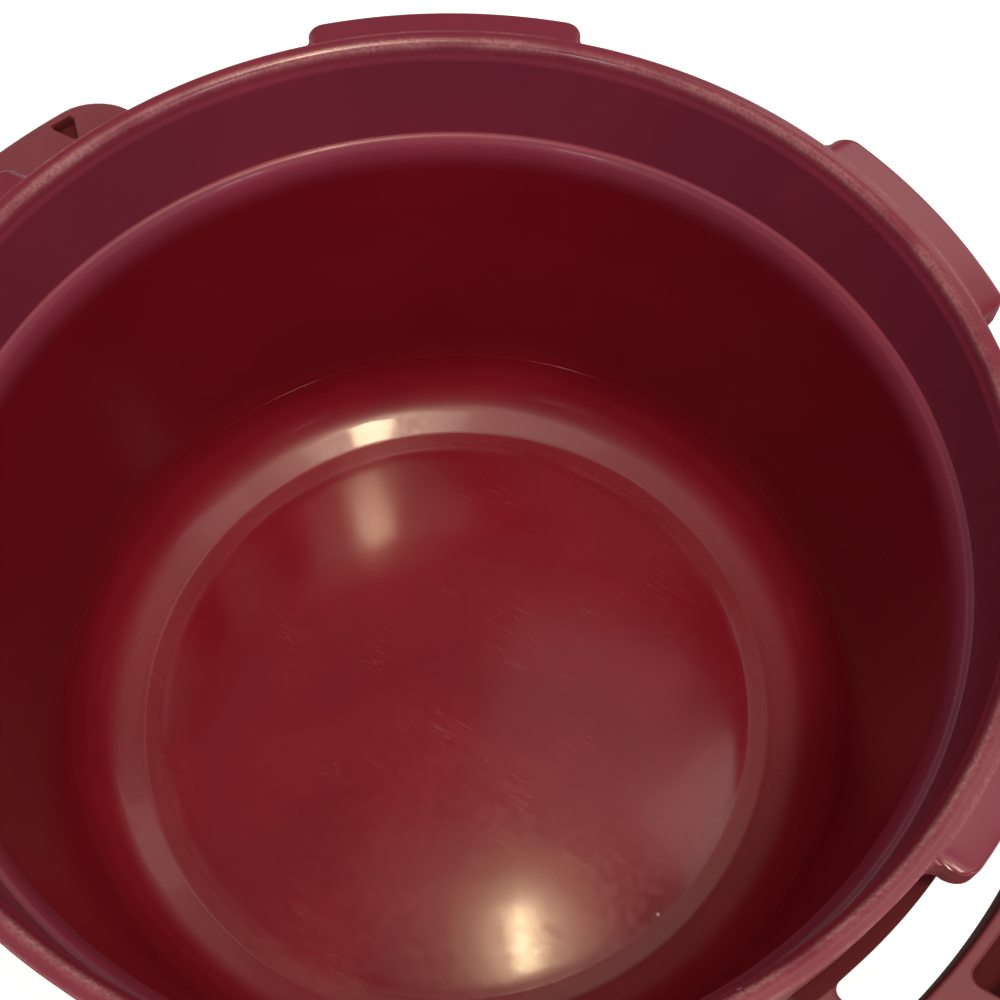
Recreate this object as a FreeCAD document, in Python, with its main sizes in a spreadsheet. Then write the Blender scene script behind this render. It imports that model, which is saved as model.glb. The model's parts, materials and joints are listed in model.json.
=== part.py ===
import FreeCAD, Part
import math
import os
import re
import Sketcher

# A pressure pot of moulded plastic with a turn-lock lid, in millimetres.
# The pot stands on z = 0, with its axis on z and its two handles on x.
# The lid lies upside down beside it, on -y, turned so that turning it over drops its lugs between the pot's.
# Lid pieces are drawn upright about the lid's own axis, with height 0 at the skirt's lower edge.

SIZES = [
    ("pot_height", 116, "from the base to the top of the rim"),
    ("rim_radius", 101, "outside of the rim and of the upper band"),
    ("rim_wall", 3.4, "wall at the top of the upper band"),
    ("rim_crest", 1.8, "flat top of the rim, before rounding"),
    ("rim_edge", 0.6, "radius of the rim's outer edge"),
    ("crest_round", 1.5, "radius between the rim's top and its inner edge"),
    ("rim_slope", 4.9, "height of the rim's rounded inner edge"),
    ("band_taper", 1.2, "inward taper of the upper band"),
    ("step_depth", 24.1, "from the rim to the inner step"),
    ("step_width", 2.9, "inward width of the step"),
    ("step_fall", 4, "height of the step's shoulder"),
    ("wall_taper", 7.1, "inward taper of the lower wall"),
    ("wall", 4, "thickness of the lower wall"),
    ("band_skirt", 30, "from the rim to the foot of the outer band"),
    ("floor_thickness", 4.3, "thickness of the floor"),
    ("floor_round", 18, "radius between wall and floor, inside"),
    ("base_round", 20, "radius between wall and base, outside"),
    ("foot_radius", 58, "inside of the foot ring"),
    ("foot_recess", 0.8, "hollow inside the foot ring"),
    ("lug_reach", 5.8, "how far a pot lug stands out from the rim"),
    ("lug_width", 30, "angle that a pot lug spans"),
    ("key_width", 15, "angle that the narrow lug over the left handle spans"),
    ("lug_spacing", 60, "angle between neighbouring lugs"),
    ("lug_drop", 0.8, "from the rim to the top of a lug"),
    ("lug_thickness", 5.2, "height of a pot lug"),
    ("lug_corner", 3.4, "plan radius of a lug's corners"),
    ("handle_drop", 15, "from the rim to the top of a handle"),
    ("handle_height", 14, "height of a handle"),
    ("handle_reach", 24, "how far a handle stands out from the rim"),
    ("handle_half", 47.5, "half of a handle's width"),
    ("handle_back", 2.4, "pad of the handle against the pot"),
    ("handle_corner", 9, "plan radius of a handle's outer corners"),
    ("finger_gap", 9.6, "width of the finger gap"),
    ("gap_half", 43, "half of the finger gap's length"),
    ("gap_corner", 4, "plan radius of the finger gap's corners"),
    ("handle_edge", 1.4, "radius of a handle's upper outer edge"),
    ("pocket_wall", 2.4, "walls round the pocket in a handle's top"),
    ("pocket_half", 32, "half of the right handle's pocket"),
    ("slot_half", 20, "half of the left handle's latch slot"),
    ("pocket_floor", 2.5, "floor under the pockets"),
    ("recess_start", 35, "start of the left handle's corner recess"),
    ("recess_length", 5, "length of the corner recess"),
    ("recess_depth", 7, "depth of the corner recess"),
    ("recess_inset", 0.5, "between the corner recess and the line of the pockets' outer wall"),
    ("skirt_gap", 1.5, "between the lid's skirt and the handles below"),
    ("turn_gap", 2.7, "between the pot's lugs and the skirt around them"),
    ("skirt_wall", 3, "thickness of the skirt"),
    ("lid_lug_width", 24, "angle that a lid lug spans"),
    ("lug_play", 1, "between a lid lug and the pot lug above it"),
    ("lock_turn", 30, "turn from dropped on to locked"),
    ("land_gap", 1, "between the rim and the lid above it"),
    ("seal_inset", 5.8, "from the rim's outside to the seal's bore"),
    ("seal_width", 7.6, "radial width of the seal"),
    ("seal_height", 4.5, "height of the seal"),
    ("seal_lift", 0.3, "between the seal and the rim"),
    ("seal_play", 0.4, "between the seal and its groove"),
    ("groove_rib", 2.8, "rib on the inside of the seal's groove"),
    ("lid_wall", 4, "thickness of the lid"),
    ("edge_slope", 7, "width of the sloping edge of the lid"),
    ("edge_rise", 0.5, "height of the skirt above the seal's groove"),
    ("dome_rise", 11, "rise from the lid's edge to its middle"),
    ("guard_radius", 50, "outside of the guard ring"),
    ("guard_wall", 5, "thickness of the guard ring"),
    ("guard_height", 22, "height of the guard ring"),
    ("grip_half", 45, "half of a lid grip's width"),
    ("grip_lift", 0.5, "from the skirt's edge up to a grip"),
    ("grip_corner", 8, "plan radius of a grip's outer corners"),
    ("stem_radius", 5, "vent stem where it passes through the lid"),
    ("stem_bore", 1.6, "radius of the steam passage"),
    ("stem_flange", 9, "radius of the stem's flange"),
    ("flange_height", 2.5, "height of the stem's flange"),
    ("gasket_height", 1, "thickness of the vent gasket"),
    ("neck_radius", 4, "stem above its flange"),
    ("neck_height", 6.5, "height of that neck"),
    ("bead_height", 2, "height of the bead at the stem's top"),
    ("nut_flats", 17, "across the vent nut's flats"),
    ("nut_height", 5, "height of the vent nut"),
    ("screen_radius", 9, "outside of the strainer cup"),
    ("screen_wall", 1.5, "wall of the strainer cup"),
    ("screen_grip", 4, "length of stem inside the strainer"),
    ("screen_depth", 5, "hollow of the strainer below the stem"),
    ("screen_hole", 1.2, "radius of a hole in the strainer"),
    ("weight_radius", 17, "outside of the regulator weight"),
    ("weight_play", 0.5, "between the weight and the stem"),
    ("weight_roof", 3, "metal above the stem"),
    ("weight_lift", 3, "how far the weight can rise"),
    ("cover_height", 2.5, "height of the regulator's cap"),
    ("clip_wire", 0.5, "radius of the clip's wire"),
    ("valve_offset", 30, "from the lid's axis to the pin and the plug"),
    ("pin_radius", 2.3, "shaft of the pressure pin"),
    ("pin_foot", 4.5, "radius of the pin's foot"),
    ("pin_travel", 6, "rise of the pin under pressure"),
    ("pin_play", 0.4, "between the pin and its bush"),
    ("pin_head", 3.8, "radius of the pin's cap"),
    ("bush_neck", 4.8, "radius of the bush in the lid"),
    ("bush_flange", 7, "radius of the bush's flanges"),
    ("bush_lip", 1.2, "thickness of the bush's flanges"),
    ("plug_neck", 5, "radius of the safety plug in the lid"),
    ("plug_flange", 8, "radius of the safety plug's flanges"),
    ("plug_lip", 1.8, "thickness of the plug's flanges"),
    ("bolt_radius", 2.75, "latch bolt"),
    ("bolt_reach", 3.5, "how far the bolt enters the handle's slot"),
    ("bolt_play", 0.35, "between the bolt and what guides it"),
    ("collar_radius", 4.4, "collar that the latch spring presses on"),
    ("collar_height", 2, "height of that collar"),
    ("bolt_stem", 1.8, "upper stem of the bolt"),
    ("latch_floor", 6.5, "floor of the latch's chamber"),
    ("chamber_radius", 4.9, "inside of the latch's chamber"),
    ("cap_wall", 1.5, "wall of the latch's cap"),
    ("cap_height", 8, "height of the latch's cap"),
    ("latch_travel", 4.5, "how far the bolt lifts"),
    ("knob_radius", 7, "outside of the latch's knob"),
    ("knob_height", 7.5, "height of the latch's knob"),
    ("spring_radius", 3.2, "middle of the latch spring's coil"),
    ("spring_wire", 0.45, "radius of the latch spring's wire"),
    ("spring_turns", 5, "turns of the latch spring"),
    ("park_distance", 360, "from the pot's axis to the axis of the lid lying beside it"),
]

# Sizes that follow from those, as expressions on the same names.
LUG_RADIUS = "(rim_radius + lug_reach)"
HANDLE_RADIUS = "(rim_radius + handle_reach)"
GAP_INNER = "(rim_radius + handle_back)"
BAR_INNER = "(rim_radius + handle_back + finger_gap)"
POCKET_INNER = "(rim_radius + handle_back + finger_gap + pocket_wall)"
POCKET_OUTER = "(rim_radius + handle_reach - pocket_wall)"
LATCH_RADIUS = f"(({POCKET_INNER} + {POCKET_OUTER}) / 2)"
SKIRT_DROP = "(handle_drop - skirt_gap)"
SKIRT_INNER = f"({LUG_RADIUS} + turn_gap)"
SKIRT_OUTER = f"({SKIRT_INNER} + skirt_wall)"
SEAL_INNER = "(rim_radius - seal_inset)"
SEAL_OUTER = f"({SEAL_INNER} + seal_width)"
SEAL_FOOT = f"({SKIRT_DROP} + seal_lift)"
GROOVE_TOP = f"({SEAL_FOOT} + seal_height + seal_play)"
LAND = f"({SKIRT_DROP} + land_gap)"
EDGE = f"({GROOVE_TOP} + edge_rise)"
WELL = f"({GROOVE_TOP} + lid_wall + dome_rise)"
WELL_UNDER = f"({WELL} - lid_wall)"
LID_HEIGHT = f"({WELL} + guard_height)"
FLANGE_TOP = f"({WELL} + gasket_height + flange_height)"
BEAD_FOOT = f"({FLANGE_TOP} + neck_height)"
STEM_TOP = f"({BEAD_FOOT} + bead_height)"
STEM_FOOT = f"({WELL_UNDER} - nut_height - screen_grip)"
WEIGHT_FOOT = f"({FLANGE_TOP} + weight_play)"
WEIGHT_SEAT = f"({STEM_TOP} + weight_play)"
WEIGHT_TOP = f"({WEIGHT_SEAT} + weight_roof)"
CHAMBER_FLOOR = "(grip_lift + latch_floor)"
BOLT_TIP = "(skirt_gap + bolt_reach)"
CAP_TOP = f"({EDGE} + cap_height)"
COLLAR_TOP = f"({CHAMBER_FLOOR} + bolt_play + collar_height)"
KNOB_FOOT = f"({CAP_TOP} + bolt_play)"
SPRING_LENGTH = f"({CAP_TOP} - cap_wall - {COLLAR_TOP})"

doc = FreeCAD.newDocument("pressure_pot")
sheet = doc.addObject("Spreadsheet::Sheet", "Sizes")
for row, (alias, number, meaning) in enumerate(SIZES, start=1):
    sheet.set(f"A{row}", alias)
    sheet.set(f"B{row}", str(number))
    sheet.setAlias(f"B{row}", alias)
    sheet.set(f"C{row}", meaning)
doc.recompute()

ALIASES = {alias for alias, number, meaning in SIZES}
NEAR = 0.02
parts = []


def value(expression):
    """The number that an expression on the sheet's names gives now."""
    return float(sheet.evalExpression(expression))


def bind(target, path, expression):
    """Ties a property to an expression on the sheet's names."""
    text = re.sub(r"[a-z_]+", lambda m: f"Sizes.{m[0]}" if m[0] in ALIASES else m[0], expression)
    target.setExpression(path, text)


def new_body(label):
    """An empty body, listed as a sub-part under its label."""
    body = doc.addObject("PartDesign::Body", label)
    body.Label = label
    parts.append(body)
    return body


def origin(body, role):
    """One of the body's own origin planes or axes."""
    return next(f for f in body.Origin.OriginFeatures if f.Role == role)


def new_sketch(body, role, height="0", turn=0):
    """A sketch on an origin plane, moved along its normal, or turned about its own upright axis."""
    sketch = body.newObject("Sketcher::SketchObject", "Sketch")
    sketch.AttachmentSupport = [(origin(body, role), "")]
    sketch.MapMode = "FlatFace"
    spin = FreeCAD.Rotation(FreeCAD.Vector(0, 1, 0), turn)
    sketch.AttachmentOffset = FreeCAD.Placement(FreeCAD.Vector(), spin)
    if height != "0":
        bind(sketch, "AttachmentOffset.Base.z", height)
    return sketch


def polygon(sketch, corners):
    """A closed outline whose corners are pairs of expressions, none of them negative."""
    points = [FreeCAD.Vector(value(x), value(y), 0) for x, y in corners]
    count = len(points)
    for i in range(count):
        sketch.addGeometry(Part.LineSegment(points[i], points[(i + 1) % count]), False)
    for i in range(count):
        sketch.addConstraint(Sketcher.Constraint("Coincident", i, 2, (i + 1) % count, 1))
    for i, (x, y) in enumerate(corners):
        for axis, line, expression in (("X", -2, x), ("Y", -1, y)):
            if expression == "0":
                sketch.addConstraint(Sketcher.Constraint("PointOnObject", i, 1, line))
                continue
            limit = Sketcher.Constraint("Distance" + axis, -1, 1, i, 1, value(expression))
            bind(sketch, f"Constraints[{sketch.addConstraint(limit)}]", expression)


def arc_band(sketch, inner, outer, half):
    """A band between two arcs about the origin, cut off square at plus and minus half."""
    side = value(half)
    ends = []
    for radius in (value(outer), value(inner)):
        angle = math.asin(side / radius)
        circle = Part.Circle(FreeCAD.Vector(), FreeCAD.Vector(0, 0, 1), radius)
        sketch.addGeometry(Part.ArcOfCircle(circle, -angle, angle), False)
        ends.append(radius * math.cos(angle))
    for y in (side, -side):
        line = Part.LineSegment(FreeCAD.Vector(ends[0], y, 0), FreeCAD.Vector(ends[1], y, 0))
        sketch.addGeometry(line, False)
    for arc, radius in ((0, outer), (1, inner)):
        sketch.addConstraint(Sketcher.Constraint("Coincident", arc, 3, -1, 1))
        limit = sketch.addConstraint(Sketcher.Constraint("Radius", arc, value(radius)))
        bind(sketch, f"Constraints[{limit}]", radius)
    for arc, end in ((0, 1), (1, 2)):
        sketch.addConstraint(Sketcher.Constraint("Coincident", arc, 2, 2, end))
        sketch.addConstraint(Sketcher.Constraint("Coincident", arc, 1, 3, end))
    sketch.addConstraint(Sketcher.Constraint("Horizontal", 2))
    sketch.addConstraint(Sketcher.Constraint("Horizontal", 3))
    for limit in (
        Sketcher.Constraint("DistanceY", -1, 1, 2, 1, side),
        Sketcher.Constraint("DistanceY", 3, 1, -1, 1, side),
    ):
        bind(sketch, f"Constraints[{sketch.addConstraint(limit)}]", half)


def circle_at(sketch, radius, offset="0"):
    """A circle on the sketch's upright axis, offset along it."""
    centre = FreeCAD.Vector(0, value(offset), 0)
    sketch.addGeometry(Part.Circle(centre, FreeCAD.Vector(0, 0, 1), value(radius)), False)
    limit = sketch.addConstraint(Sketcher.Constraint("Radius", 0, value(radius)))
    bind(sketch, f"Constraints[{limit}]", radius)
    sketch.addConstraint(Sketcher.Constraint("PointOnObject", 0, 3, -2))
    if offset == "0":
        sketch.addConstraint(Sketcher.Constraint("PointOnObject", 0, 3, -1))
        return
    limit = sketch.addConstraint(Sketcher.Constraint("DistanceY", -1, 1, 0, 3, value(offset)))
    bind(sketch, f"Constraints[{limit}]", offset)


def revolve(body, corners, angle="360", turn=0):
    """Turns an outline of (radius, height) corners about z, centred on its own plane."""
    sketch = new_sketch(body, "XZ_Plane", turn=turn)
    polygon(sketch, corners)
    feature = body.newObject("PartDesign::Revolution", "Revolution")
    feature.Profile = sketch
    feature.ReferenceAxis = (sketch, ["V_Axis"])
    feature.Midplane = True
    bind(feature, "Angle", angle)
    return feature


def box_corners(inner, outer, low, high):
    """The four corners of a rectangle in radius and height."""
    return [(inner, low), (outer, low), (outer, high), (inner, high)]


def pad(body, sketch, length):
    """Raises a sketch along its normal."""
    feature = body.newObject("PartDesign::Pad", "Pad")
    feature.Profile = sketch
    bind(feature, "Length", length)
    return feature


def pocket(body, sketch, depth=None):
    """Cuts downwards from a sketch, by a depth or right through."""
    doc.recompute()
    before = body.Tip.Shape.Volume
    feature = body.newObject("PartDesign::Pocket", "Pocket")
    feature.Profile = sketch
    if depth is None:
        feature.Type = "ThroughAll"
    else:
        bind(feature, "Length", depth)
    doc.recompute()
    if feature.Shape.Volume > before - NEAR:
        raise ValueError(f"{body.Label}: a pocket cuts nothing")
    return feature


def polar(body, features, count, angle="360"):
    """Repeats features about z."""
    pattern = body.newObject("PartDesign::PolarPattern", "PolarPattern")
    pattern.Originals = features
    pattern.Axis = (origin(body, "Z_Axis"), [""])
    pattern.Occurrences = count
    bind(pattern, "Angle", angle)
    body.Tip = pattern
    return pattern


def mirror(body, features, role):
    """Repeats features on the other side of an origin plane."""
    copy = body.newObject("PartDesign::Mirrored", "Mirrored")
    copy.Originals = features
    copy.MirrorPlane = (origin(body, role), [""])
    body.Tip = copy
    return copy


def fillet(body, radius, wanted):
    """Rounds every edge that the test wants."""
    doc.recompute()
    base = body.Tip
    names = [f"Edge{i}" for i, edge in enumerate(base.Shape.Edges, start=1) if wanted(edge)]
    if not names:
        raise ValueError(f"{body.Label}: no edge to round by {radius}")
    feature = body.newObject("PartDesign::Fillet", "Fillet")
    feature.Base = (base, names)
    bind(feature, "Radius", radius)
    body.Tip = feature
    return feature


def same(a, b):
    """True if two lengths agree."""
    return abs(a - b) < NEAR


def ring(radius, height):
    """A test for circular edges about z of this radius, at this height."""
    r, z = value(radius), value(height)

    def wanted(edge):
        curve = edge.Curve
        if not isinstance(curve, Part.Circle) or math.hypot(curve.Center.x, curve.Center.y) > NEAR:
            return False
        return same(curve.Radius, r) and same(curve.Center.z, z)

    return wanted


def upright(radius, half=None):
    """A test for upright straight edges at this radius, and at plus or minus half in y."""
    r = value(radius)

    def wanted(edge):
        if not isinstance(edge.Curve, Part.Line) or abs(edge.Curve.Direction.z) < 0.99:
            return False
        point = edge.Vertexes[0].Point
        return same(math.hypot(point.x, point.y), r) and (half is None or same(abs(point.y), value(half)))

    return wanted


def level(height, inside=None):
    """A test for edges that lie at this height, and whose middle is beyond a radius."""
    z = value(height)

    def wanted(edge):
        middle = edge.valueAt((edge.FirstParameter + edge.LastParameter) / 2)
        flat = same(edge.BoundBox.ZMin, z) and same(edge.BoundBox.ZMax, z)
        return flat and (inside is None or math.hypot(middle.x, middle.y) > value(inside) + NEAR)

    return wanted


def park(part, turn="0", radius="0", height="0"):
    """Places a lid piece on the upside-down lid, at a turn, radius and height of the upright lid."""
    angle = f"(lock_turn + {turn})"
    across, along = f"{radius} * cos({angle})", f"-park_distance - {radius} * sin({angle})"
    flip = f"rotation(vector(cos({angle} / 2); -sin({angle} / 2); 0); 180)"
    place = f"vector({across}; {along}; {LID_HEIGHT} - {height})"
    bind(part, "Placement", f"placement({place}; {flip})")


def make_pot_shell():
    """The vessel: base, drafted wall, inner step, rim and turn-lock lugs."""
    body = new_body("pot_shell")
    shoulder = "(rim_radius - rim_wall - band_taper - step_width)"
    revolve(body, [
        ("0", "foot_recess"),
        ("foot_radius", "foot_recess"),
        ("foot_radius", "0"),
        (f"{shoulder} - wall_taper + wall", "0"),
        (f"{shoulder} + wall", "pot_height - band_skirt - step_fall"),
        ("rim_radius", "pot_height - band_skirt"),
        ("rim_radius", "pot_height"),
        ("rim_radius - rim_crest", "pot_height"),
        ("rim_radius - rim_wall", "pot_height - rim_slope"),
        ("rim_radius - rim_wall - band_taper", "pot_height - step_depth"),
        (shoulder, "pot_height - step_depth - step_fall"),
        (f"{shoulder} - wall_taper", "floor_thickness"),
        ("0", "floor_thickness"),
    ])
    fillet(body, "floor_round", ring(f"{shoulder} - wall_taper", "floor_thickness"))
    fillet(body, "base_round", ring(f"{shoulder} - wall_taper + wall", "0"))
    fillet(body, "step_fall", ring(shoulder, "pot_height - step_depth - step_fall"))
    fillet(body, "rim_wall", ring("rim_radius - rim_wall", "pot_height - rim_slope"))
    fillet(body, "crest_round", ring("rim_radius - rim_crest", "pot_height"))
    fillet(body, "rim_edge", ring("rim_radius", "pot_height"))
    top = "pot_height - lug_drop"
    outline = box_corners("rim_radius - rim_wall / 2", LUG_RADIUS, f"{top} - lug_thickness", top)
    first = -2 * value("lug_spacing")
    lug = revolve(body, outline, "lug_width", turn=first)
    polar(body, [lug], 5, "4 * lug_spacing")
    revolve(body, outline, "key_width", turn=180)
    fillet(body, "lug_corner", upright(LUG_RADIUS))
    fillet(body, "lug_drop", level(top, "rim_radius"))
    return body


def outer_edge(height):
    """A test for a handle's outside edges at this height, clear of the gap and the pocket."""
    at_height, bar, side = level(height), value(POCKET_OUTER), value("gap_half")

    def wanted(edge):
        middle = edge.valueAt((edge.FirstParameter + edge.LastParameter) / 2)
        outside = math.hypot(middle.x, middle.y) > bar + NEAR or abs(middle.y) > side + NEAR
        return at_height(edge) and outside and math.hypot(middle.x, middle.y) > value("rim_radius") + NEAR

    return wanted


def make_pot_handle(label, pocket_length):
    """A looped handle: a pad against the pot, a finger gap and a bar with a pocket in its top."""
    body = new_body(label)
    base = "pot_height - handle_drop - handle_height"
    top = "pot_height - handle_drop"
    loop = new_sketch(body, "XY_Plane", base)
    arc_band(loop, "rim_radius", HANDLE_RADIUS, "handle_half")
    pad(body, loop, "handle_height")
    fillet(body, "handle_corner", upright(HANDLE_RADIUS))
    gap = new_sketch(body, "XY_Plane", top)
    arc_band(gap, GAP_INNER, BAR_INNER, "gap_half")
    pocket(body, gap)
    fillet(body, "gap_corner", upright(BAR_INNER))
    fillet(body, "gap_corner", upright(GAP_INNER))
    hollow = new_sketch(body, "XY_Plane", top)
    arc_band(hollow, POCKET_INNER, POCKET_OUTER, pocket_length)
    pocket(body, hollow, "handle_height - pocket_floor")
    fillet(body, "pocket_wall", upright(POCKET_INNER))
    fillet(body, "pocket_wall", upright(POCKET_OUTER))
    fillet(body, "handle_edge", outer_edge(top))
    return body


def make_pot_handles():
    """The right handle, and the left one with its latch slot and corner recesses."""
    make_pot_handle("pot_handle_right", "pocket_half")
    left = make_pot_handle("pot_handle_left", "slot_half")
    far = "(recess_start + recess_length)"
    outer = f"({POCKET_OUTER} - recess_inset)"
    recess = new_sketch(left, "XY_Plane", "pot_height - handle_drop")
    polygon(recess, [
        (f"sqrt({POCKET_INNER} ^ 2 - recess_start ^ 2)", "recess_start"),
        (f"sqrt({outer} ^ 2 - recess_start ^ 2)", "recess_start"),
        (f"sqrt({outer} ^ 2 - {far} ^ 2)", far),
    ])
    corner = pocket(left, recess, "recess_depth")
    mirror(left, [corner], "XZ_Plane")
    bind(left, "Placement", "placement(vector(0; 0; 0); rotation(vector(0; 0; 1); 180))")


def make_seal_ring():
    """The silicone ring, with a groove in its lower face that leaves two lips on the rim."""
    body = new_body("seal_ring")
    middle = f"({SEAL_INNER} + seal_width / 2)"
    groove = "seal_width / 6"
    revolve(body, [
        (SEAL_INNER, SEAL_FOOT),
        (f"{middle} - {groove}", SEAL_FOOT),
        (middle, f"{SEAL_FOOT} + seal_height / 4"),
        (f"{middle} + {groove}", SEAL_FOOT),
        (SEAL_OUTER, SEAL_FOOT),
        (SEAL_OUTER, f"{SEAL_FOOT} + seal_height"),
        (SEAL_INNER, f"{SEAL_FOOT} + seal_height"),
    ])
    park(body)


def make_lid_shell():
    """The lid: skirt, seal groove, dome, guard ring with the valves' well inside it, and inner lugs."""
    body = new_body("lid_shell")
    rib = f"({SEAL_INNER} - seal_play - groove_rib)"
    groove_outer = f"({SEAL_OUTER} + seal_play)"
    edge_radius = f"({SKIRT_OUTER} - edge_slope)"
    edge_top = f"({GROOVE_TOP} + lid_wall)"
    guard_inner = "(guard_radius - guard_wall)"
    revolve(body, [
        (SKIRT_INNER, "0"),
        (SKIRT_OUTER, "0"),
        (SKIRT_OUTER, EDGE),
        (edge_radius, edge_top),
        ("guard_radius", WELL),
        ("guard_radius", LID_HEIGHT),
        (guard_inner, LID_HEIGHT),
        (guard_inner, WELL),
        ("stem_radius", WELL),
        ("stem_radius", WELL_UNDER),
        ("guard_radius", WELL_UNDER),
        (rib, f"{GROOVE_TOP} + lid_wall / 2"),
        (rib, LAND),
        (f"{SEAL_INNER} - seal_play", LAND),
        (f"{SEAL_INNER} - seal_play", GROOVE_TOP),
        (groove_outer, GROOVE_TOP),
        (groove_outer, LAND),
        (SKIRT_INNER, LAND),
    ])
    lug_top = f"{SKIRT_DROP} - lug_drop - lug_thickness - lug_play"
    outline = box_corners("rim_radius + turn_gap", f"{SKIRT_INNER} + skirt_wall / 2", "0", lug_top)
    polar(body, [revolve(body, outline, "lid_lug_width")], 6)
    for radius, turn in (("bush_neck", 0), ("plug_neck", 180)):
        hole = new_sketch(body, "XY_Plane", LID_HEIGHT)
        hole.AttachmentOffset = FreeCAD.Placement(
            hole.AttachmentOffset.Base, FreeCAD.Rotation(FreeCAD.Vector(0, 0, 1), turn)
        )
        circle_at(hole, radius, "valve_offset")
        pocket(body, hole)
    fillet(body, "lid_wall * 0.8", ring("guard_radius", WELL))
    fillet(body, "guard_wall / 4", ring("guard_radius", LID_HEIGHT))
    fillet(body, "guard_wall / 4", ring(guard_inner, LID_HEIGHT))
    fillet(body, "lid_wall * 0.8", ring(edge_radius, edge_top))
    park(body)


def make_lid_grip(label, turn, chambered):
    """A grip against the skirt, with or without the latch's chamber."""
    body = new_body(label)
    block = new_sketch(body, "XY_Plane", "grip_lift")
    arc_band(block, SKIRT_OUTER, HANDLE_RADIUS, "grip_half")
    pad(body, block, f"{EDGE} - grip_lift")
    fillet(body, "grip_corner", upright(HANDLE_RADIUS))
    if chambered:
        deep = f"{EDGE} - {CHAMBER_FLOOR}"
        for radius, depth in (("chamber_radius", deep), ("bolt_radius + bolt_play", None)):
            hole = new_sketch(body, "XY_Plane", EDGE)
            hole.AttachmentOffset = FreeCAD.Placement(
                hole.AttachmentOffset.Base, FreeCAD.Rotation(FreeCAD.Vector(0, 0, 1), -90)
            )
            circle_at(hole, radius, LATCH_RADIUS)
            pocket(body, hole, depth)
    fillet(body, "lid_wall / 2", level(EDGE, f"{SKIRT_OUTER} + chamber_radius * 2"))
    park(body, turn)


def make_vent():
    """The steam pipe with its gasket, nut and strainer."""
    stem = new_body("vent_stem")
    revolve(stem, [
        ("stem_bore", STEM_FOOT),
        ("stem_radius", STEM_FOOT),
        ("stem_radius", f"{WELL} + gasket_height"),
        ("stem_flange", f"{WELL} + gasket_height"),
        ("stem_flange", FLANGE_TOP),
        ("neck_radius", FLANGE_TOP),
        ("neck_radius", BEAD_FOOT),
        ("stem_radius", BEAD_FOOT),
        ("stem_radius", f"{STEM_TOP} - bead_height / 2"),
        ("stem_bore * 1.5", STEM_TOP),
        ("stem_bore", STEM_TOP),
    ])
    gasket = new_body("vent_gasket")
    revolve(gasket, box_corners("stem_radius", "stem_flange", WELL, f"{WELL} + gasket_height"))

    prism = doc.addObject("Part::Prism", "NutBlank")
    prism.Polygon = 6
    bind(prism, "Circumradius", "nut_flats / 2 / cos(30)")
    bind(prism, "Height", "nut_height")
    bore = doc.addObject("Part::Cylinder", "NutBore")
    bind(bore, "Radius", "stem_radius")
    bind(bore, "Height", "nut_height")
    nut = doc.addObject("Part::Cut", "vent_nut")
    nut.Base = prism
    nut.Tool = bore
    nut.Label = "vent_nut"
    parts.append(nut)

    screen = new_body("vent_screen")
    low = f"({STEM_FOOT} - screen_depth)"
    revolve(screen, [
        ("0", f"{low} - screen_wall"),
        ("screen_radius", f"{low} - screen_wall"),
        ("screen_radius", f"{STEM_FOOT} + screen_grip"),
        ("stem_radius", f"{STEM_FOOT} + screen_grip"),
        ("stem_radius", STEM_FOOT),
        ("screen_radius - screen_wall", STEM_FOOT),
        ("screen_radius - screen_wall", low),
        ("0", low),
    ])
    holes = new_sketch(screen, "XY_Plane", f"{low} + screen_wall")
    circle_at(holes, "screen_hole", "screen_radius / 2")
    polar(screen, [pocket(screen, holes)], 6)
    for part in (stem, gasket, screen):
        park(part)
    park(nut, height=f"({WELL_UNDER} - nut_height)")


def make_regulator():
    """The weight on the stem with its clip and cap, at the top of its lift while the lid is upside down."""
    weight = new_body("regulator_weight")
    revolve(weight, [
        ("stem_radius + weight_play", WEIGHT_FOOT),
        ("weight_radius", WEIGHT_FOOT),
        ("weight_radius", WEIGHT_TOP),
        ("0", WEIGHT_TOP),
        ("0", WEIGHT_SEAT),
        ("stem_radius + weight_play", WEIGHT_SEAT),
    ])
    cap = new_body("regulator_cap")
    revolve(cap, [
        ("0", WEIGHT_TOP),
        ("weight_radius", WEIGHT_TOP),
        ("weight_radius", f"{WEIGHT_TOP} + cover_height / 2"),
        ("weight_radius - cover_height", f"{WEIGHT_TOP} + cover_height"),
        ("0", f"{WEIGHT_TOP} + cover_height"),
    ])
    clip = doc.addObject("Part::Torus", "weight_clip")
    clip.Label = "weight_clip"
    bind(clip, "Radius1", "stem_radius + weight_play - clip_wire / 2")
    bind(clip, "Radius2", "clip_wire")
    parts.append(clip)
    for part in (weight, cap):
        park(part, height="weight_lift")
    park(clip, height=f"({WEIGHT_FOOT} + clip_wire * 2 + weight_lift)")


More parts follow.
